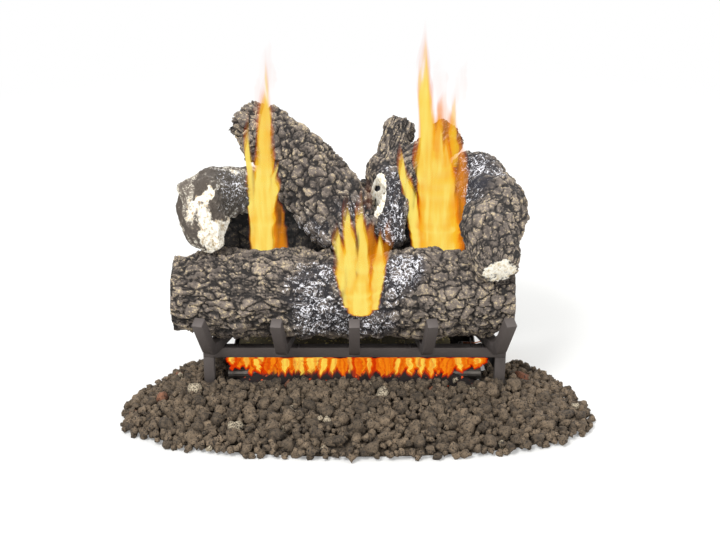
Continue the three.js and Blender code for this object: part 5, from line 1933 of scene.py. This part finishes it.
@dataclass
class Grate:
    """The welded grate: bars, rails and legs of square bar with small weld beads."""

    steel: SteelFinish = SteelFinish("matt_black_paint")
    weld: SteelFinish = SteelFinish("weld_scale", "2e2a29", "4d4744", 0.7)
    slot: str = "grate_steel"
    rounding: float = 0.001
    merged_gap: float = 0.00001
    flat_angle: float = math.radians(2)
    edge_angle: float = 0.6
    shaded_angle: float = math.radians(40)
    bar_half: float = 0.0095
    bead_offset: float = 0.0006
    bead_radius: float = 0.0022
    bead_inset: float = 0.003
    bead_ripple: float = 0.2
    bead_waves: int = 7
    bead_rings: int = 26
    bead_sides: int = 8

    def build(self, frame: dict) -> None:
        """Rounds each bar and lays beads where the bars stand on the front rail.
        """
        material = self.steel.material()
        names = sorted(n for n, o in frame["nodes"].items() if o["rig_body"] == "grate")
        for name in names:
            self.soften(frame, name, material)
        self.beads([n for n in names if n.startswith("grate_bar")])

    def soften(self, frame: dict, node: str, material: Material) -> None:
        """Stands a copy with rounded edges in for a CAD node.

        Args:
            node: the CAD node.
            material: the copy's material.
        """
        source = frame["nodes"][node]
        made = add_object(f"{node}_rounded", source.data.copy())
        shape = bmesh.new()
        shape.from_mesh(made.data)
        bmesh.ops.remove_doubles(shape, verts=shape.verts, dist=self.merged_gap)
        verts, edges = shape.verts, shape.edges
        bmesh.ops.dissolve_limit(shape, angle_limit=self.flat_angle, verts=verts, edges=edges)
        sharp = [e for e in edges if len(e.link_faces) == 2 and e.calc_face_angle() > self.edge_angle]
        bmesh.ops.bevel(
            shape, geom=sharp, offset=self.rounding, segments=2, affect="EDGES", profile=0.5,
            clamp_overlap=True,
        )
        shape.to_mesh(made.data)
        shape.free()
        dress(made.data, material)
        made.data.shade_smooth()
        made.data.set_sharp_from_angle(angle=self.shaded_angle)
        place_piece(made, "grate", (node,))

    def beads(self, bars: list[str]) -> None:
        """A bead on both sides of each bar, across the top of the front rail.

        Each bead is a rippled tube that lies in the corner between the bar and the rail. At share
        t of its length its radius is r sqrt(1 - (2t - 1)^6) (1 + ripple * sin(2 pi waves t)).

        Args:
            bars: the CAD nodes of the bars.
        """
        low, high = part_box("front_rail")
        points, faces, used = [], [], 0
        rings, sides = self.bead_rings, self.bead_sides
        place = np.linspace(0, 1, rings)
        swell = np.sqrt(np.clip(1 - (2 * place - 1) ** 6, 0.02, 1))
        ripple = 1 + self.bead_ripple * np.sin(place * TAU * self.bead_waves)
        radius = (self.bead_radius * swell * ripple)[:, None]
        angle = np.arange(sides) * TAU / sides
        y = np.linspace(low[1] + self.bead_inset, high[1] - self.bead_inset, rings)
        for bar in bars:
            box_low, box_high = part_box(bar)
            middle = (box_low[0] + box_high[0]) / 2
            for side in (-1, 1):
                x = middle + side * (self.bar_half + self.bead_offset) + radius * np.cos(angle)
                z = high[2] + radius * np.sin(angle)
                ring = np.stack([x, np.repeat(y[:, None], sides, 1), z], -1)
                ends = np.stack([ring[0].mean(0), ring[-1].mean(0)])
                points.append(np.concatenate([ring.reshape(-1, 3), ends]))
                faces += [part + used for part in capped_faces(rings, sides)]
                used += rings * sides + 2
        made = make_mesh("grate_weld_beads", np.concatenate(points), faces)
        dress(made.data, self.weld.material())
        place_piece(made, "grate")


@dataclass
class Burner:
    """The burner and its controls, which keep their CAD shapes under real finishes."""

    burner_steel: MetalFinish = MetalFinish("heat_dulled_steel", "5f5a55", "35302d", 0.5, (0.05, 1, 1))
    brass: MetalFinish = MetalFinish("aged_brass", "b39048", "8a6a34", 0.3)
    copper: MetalFinish = MetalFinish("drawn_copper", "b3704a", "7a4a35", 0.35)
    knob_plastic: PlasticFinish = PlasticFinish("moulded_plastic")

    def build(self, frame: dict) -> None:
        """Finishes the nodes of each of the record's slots that a field is named for.
        """
        for slot, finish in vars(self).items():
            paint_slot(frame, slot, finish.material())


# Fire


@dataclass(frozen=True)
class Tongue:
    """One tongue of flame in millimetres from the middle of the grate: its foot, its tip and its
    half width at the widest place, which is a share of its height. The width of its base is a share
    of that one. It has as many shells as it says, from the outside, and sways sideways."""

    foot: Triple
    tip: Triple
    half_width: float
    widest: float = 0.35
    base: float = 0.85
    shells: int = 4
    sway: float = 5.0


Shells = tuple[tuple[float, FlameFinish], ...]


@dataclass(frozen=True)
class FlameRow:
    """The row of small tongues under the front rail, in millimetres from the middle of the grate."""

    left: float = -220
    right: float = 228
    count: int = 52
    y: float = -114
    top: float = 70.5
    low_edge: float = 21
    raised_ends: float = 26
    torn: float = 13
    jitter_y: float = 4
    lean_x: float = 9
    half_widths: tuple[float, float] = (8, 15)
    shell_counts: tuple[int, ...] = (2, 3, 3, 4, 4)
    seed: int = 5

    def tongues(self) -> tuple[Tongue, ...]:
        """Hangs the tongues from the rail down to a torn lower edge.

        Returns:
            The tongues. Their lower edge rises toward the ends with |x / right|^4.
        """
        rng = np.random.default_rng(self.seed)
        row = []
        for x in np.linspace(self.left, self.right, self.count):
            y = self.y + rng.uniform(-self.jitter_y, self.jitter_y)
            edge = self.low_edge + self.raised_ends * abs(x / self.right) ** 4
            edge = edge + rng.uniform(0, self.torn)
            tip = (x + rng.uniform(-self.lean_x, self.lean_x), y, edge)
            half, shells = rng.uniform(*self.half_widths), int(rng.choice(self.shell_counts))
            row.append(Tongue((x, y, self.top), tip, half, 0.35, 0.9, shells, sway=3))
        return tuple(row)


@dataclass
class Fire:
    """Flames of burning gas. They aren't part of the object, so no body carries them.

    Each shell is a share of its tongue's size and the finish of what lies inside it."""

    rings: int = 46
    sides: int = 20
    thinnest: float = 0.0003
    seed: int = 3
    shells: Shells = (
        (1.0, FlameFinish("flame_edge", "ea640a", 31.0)),
        (0.9, FlameFinish("flame_outer", "ffac1a", 52.0)),
        (0.81, FlameFinish("flame_body", "ffdf40", 150.0)),
        (0.66, FlameFinish("flame_core", "fff384", 700.0)),
    )
    low_shells: Shells = (
        (1.0, FlameFinish("burner_flame_edge", "a81202", 90.0, 0.009)),
        (0.86, FlameFinish("burner_flame_outer", "ee4a08", 130.0, 0.009)),
        (0.64, FlameFinish("burner_flame_body", "ff9a18", 200.0, 0.009)),
        (0.42, FlameFinish("burner_flame_core", "ffe45c", 420.0, 0.009)),
    )
    wisp_shells: Shells = ((1.0, FlameFinish("flame_wisp", "f08a5c", 10.0)),)
    left: tuple[Tongue, ...] = (
        Tongue((-164, -20, 236), (-157, -20, 570), 25, 0.3, 0.9),
        Tongue((-178, -20, 240), (-185, -20, 505), 12, 0.4),
        Tongue((-158, -20, 290), (-132, -20, 418), 14, 0.35),
        Tongue((-158, -20, 330), (-152, -20, 612), 12, 0.3),
        Tongue((-136, -20, 236), (-146, -20, 378), 18, 0.25, shells=2),
        Tongue((-152, -20, 380), (-150, -20, 525), 11, 0.3, shells=2),
        Tongue((-160, 8, 76), (-162, -18, 330), 20, 0.4, 0.5),
    )
    middle: tuple[Tongue, ...] = (
        Tongue((2, -172, 186), (-18, -142, 398), 18, 0.4, 0.8),
        Tongue((17, -172, 186), (12, -142, 408), 16, 0.4, 0.9),
        Tongue((-9, -170, 196), (-31, -146, 348), 18, 0.4, 0.6),
        Tongue((33, -170, 192), (44, -144, 334), 16, 0.45, 0.7),
        Tongue((40, -160, 240), (67, -146, 362), 10, 0.45, 0.6, 2),
        Tongue((25, -168, 190), (27, -144, 352), 18, 0.5, shells=2),
        Tongue((11, -175, 184), (14, -160, 272), 27, 0.4, 0.8),
    )
    right: tuple[Tongue, ...] = (
        Tongue((153, -20, 232), (140, -20, 520), 42, 0.3, 0.95),
        Tongue((136, -20, 236), (119, -20, 662), 25, 0.35),
        Tongue((118, -20, 238), (77, -20, 446), 15, 0.45),
        Tongue((166, -20, 236), (157, -20, 478), 22, 0.45),
        Tongue((180, -20, 236), (182, -20, 515), 20, 0.4, 0.8, 2),
        Tongue((156, -24, 400), (152, -24, 545), 20, 0.3, 0.6, 2),
        Tongue((176, -24, 400), (172, -24, 540), 9, 0.3, 0.6, 3),
        Tongue((176, -24, 250), (170, -24, 330), 15, 0.4, 0.8, 3),
        Tongue((146, 8, 76), (148, -18, 340), 36, 0.4, 0.5),
    )
    wisps: tuple[Tongue, ...] = (
        Tongue((-158, -20, 470), (-148, -20, 625), 20, 0.4),
        Tongue((170, -20, 470), (192, -20, 590), 15, 0.5),
        Tongue((140, -20, 500), (150, -20, 600), 16, 0.4),
        Tongue((22, -45, 318), (21, -45, 394), 9, 0.4),
    )
    row: FlameRow = FlameRow()

    def surface(self, tongue: Tongue, shrink: float, seed: int) -> tuple[Array, list[Array]]:
        """A closed, flattened, wavering tongue.

        Args:
            tongue: where it stands.
            shrink: its thickness and height as a share.
            seed: how it wavers.

        Returns:
            Points and faces. At share t of its height the half width is eased from base * w to w
            at the widest share c, and is w (1 - ((t - c) / (1 - c))^1.5)^0.9 above it.
        """
        place = np.linspace(0, 1, self.rings)
        foot, tip = np.array(tongue.foot) * MM, np.array(tongue.tip) * MM
        tip = foot + (tip - foot) * (0.55 + 0.45 * shrink)
        line = foot + place[:, None] * (tip - foot)
        wave = np.stack([place * 5 + seed, place * 0 + seed, place * 0], -1)
        line[:, 0] += tongue.sway * MM * value_noise(wave, seed) * smoothstep(0.1, 0.6, place)
        c = tongue.widest
        below = tongue.base + (1 - tongue.base) * smoothstep(0.0, c, place)
        above = (1 - np.clip((place - c) / (1 - c), 0.0, 1) ** 1.5) ** 0.9
        width = tongue.half_width * MM * shrink * np.where(place < c, below, above)
        ripple = value_noise(wave * 2.1, seed + 5) + 0.6 * value_noise(wave * 4.7, seed + 6)
        width = width * (1 + 0.2 * ripple) + self.thinnest
        angle = np.arange(self.sides) * TAU / self.sides
        x, y = width[:, None] * np.cos(angle), 0.5 * width[:, None] * np.sin(angle)
        ring = line[:, None] + np.stack([x, y, np.zeros(x.shape)], -1)
        points = np.concatenate([ring.reshape(-1, 3), [ring[0].mean(0)], [ring[-1].mean(0)]])
        return points, capped_faces(self.rings, self.sides)

    def build(self, layout: Layout) -> None:
        """Makes nested volumes for each tongue. Reflections, diffuse light and shadows miss them.

        Args:
            layout: where the grate lies.
        """
        high, low, wisp = (
            [(shrink, finish.material()) for shrink, finish in shells]
            for shells in (self.shells, self.low_shells, self.wisp_shells)
        )
        groups = {
            "left": (self.left, high),
            "middle": (self.middle, high),
            "right": (self.right, high),
            "burner": (self.row.tongues(), low),
            "wisp": (self.wisps, wisp),
        }
        for name, (tongues, shells) in groups.items():
            for number, tongue in enumerate(tongues):
                for shell, (shrink, material) in enumerate(shells[: tongue.shells]):
                    points, faces = self.surface(tongue, shrink, number + self.seed)
                    made = make_mesh(f"flame_{name}_{number}_{shell}", points + layout.shift, faces)
                    dress(made.data, material)
                    made.visible_diffuse = made.visible_glossy = made.visible_shadow = False
            log.info("%s flames: %d tongues on the stage", name, len(tongues))


# Stage


@dataclass(frozen=True)
class Lamp:
    """A square soft light."""

    name: str
    place: Triple
    size: float
    watts: float

    def build(self, target: Vector) -> None:
        """Points it at the object.

        Args:
            target: the object's middle.
        """
        data = bpy.data.lights.new(self.name, "AREA")
        data.size, data.energy = self.size, self.watts
        made = add_object(self.name, data)
        made.location = self.place
        made.rotation_euler = (target - made.location).to_track_quat("-Z", "Y").to_euler()


@dataclass(frozen=True)
class Studio:
    """Pale floor, soft lights and the camera at the viewing angle of the photograph."""

    elevation: float = math.radians(22.5)
    distance: float = 2.5
    target: Triple = (0.0097, 0.0, 0.1942)
    lens: float = 68.4
    sensor: float = 36.0
    floor_half: float = 9.0
    floor_level: float = -0.0003
    floor_finish: FloorFinish = FloorFinish()
    daylight: float = 0.75
    lit_point: Triple = (0, 0, 0.2)
    lamps: tuple[Lamp, ...] = (
        Lamp("key", (-1.4, -2.0, 3.0), 1.4, 130.0),
        Lamp("fill", (2.2, -2.2, 1.4), 2.0, 40.0),
        Lamp("back", (0.4, 2.6, 2.4), 2.0, 60.0),
    )

    def floor(self) -> None:
        """A wide floor just under the object."""
        half, level = self.floor_half, self.floor_level
        corners = [[-half, -half, level], [half, -half, level], [half, half, level], [-half, half, level]]
        made = make_mesh("floor", np.array(corners), [np.array([[0, 1, 2, 3]])], False)
        dress(made.data, self.floor_finish.material())

    def world(self) -> None:
        """White surroundings: bright to the camera and in reflections, softer as light."""
        s = Shader("surroundings", world=True)
        strength = s.add("MapRange", {0: s.background_rays(), 3: self.daylight, 4: 1.0})
        white = s.add("Background", {"Color": srgb("ffffff"), "Strength": strength})
        bpy.context.scene.world = s.close(Surface=white)

    def camera(self, layout: Layout) -> None:
        """Aims the camera at the middle of the photograph.

        Args:
            layout: where the grate lies.
        """
        data = bpy.data.cameras.new("camera")
        data.lens, data.sensor_width = self.lens, self.sensor
        data.dof.use_dof = False
        target = Vector(self.target) + Vector(layout.shift)
        back = Vector((0, -math.cos(self.elevation), math.sin(self.elevation)))
        made = add_object("camera", data)
        made.location = target + self.distance * back
        made.rotation_euler = (-back).to_track_quat("-Z", "Y").to_euler()
        bpy.context.scene.camera = made

    def build(self, layout: Layout) -> None:
        """Sets up everything round the object.

        Args:
            layout: where the grate lies.
        """
        bpy.context.scene.view_settings.view_transform = "Standard"
        self.floor()
        self.world()
        for lamp in self.lamps:
            lamp.build(Vector(self.lit_point))
        self.camera(layout)
        log.info("stage: floor, world, %d lamps and camera", len(self.lamps))


def main() -> None:
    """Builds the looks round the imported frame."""
    logging.basicConfig(level=logging.INFO, format="%(message)s")
    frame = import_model()
    layout = Layout.from_frame()
    Studio().build(layout)
    Logs().build(layout)
    RockBed().build(layout, frame)
    Grate().build(frame)
    Burner().build(frame)
    Embers().build()
    Fire().build(layout)


if __name__ == "__main__":
    main()
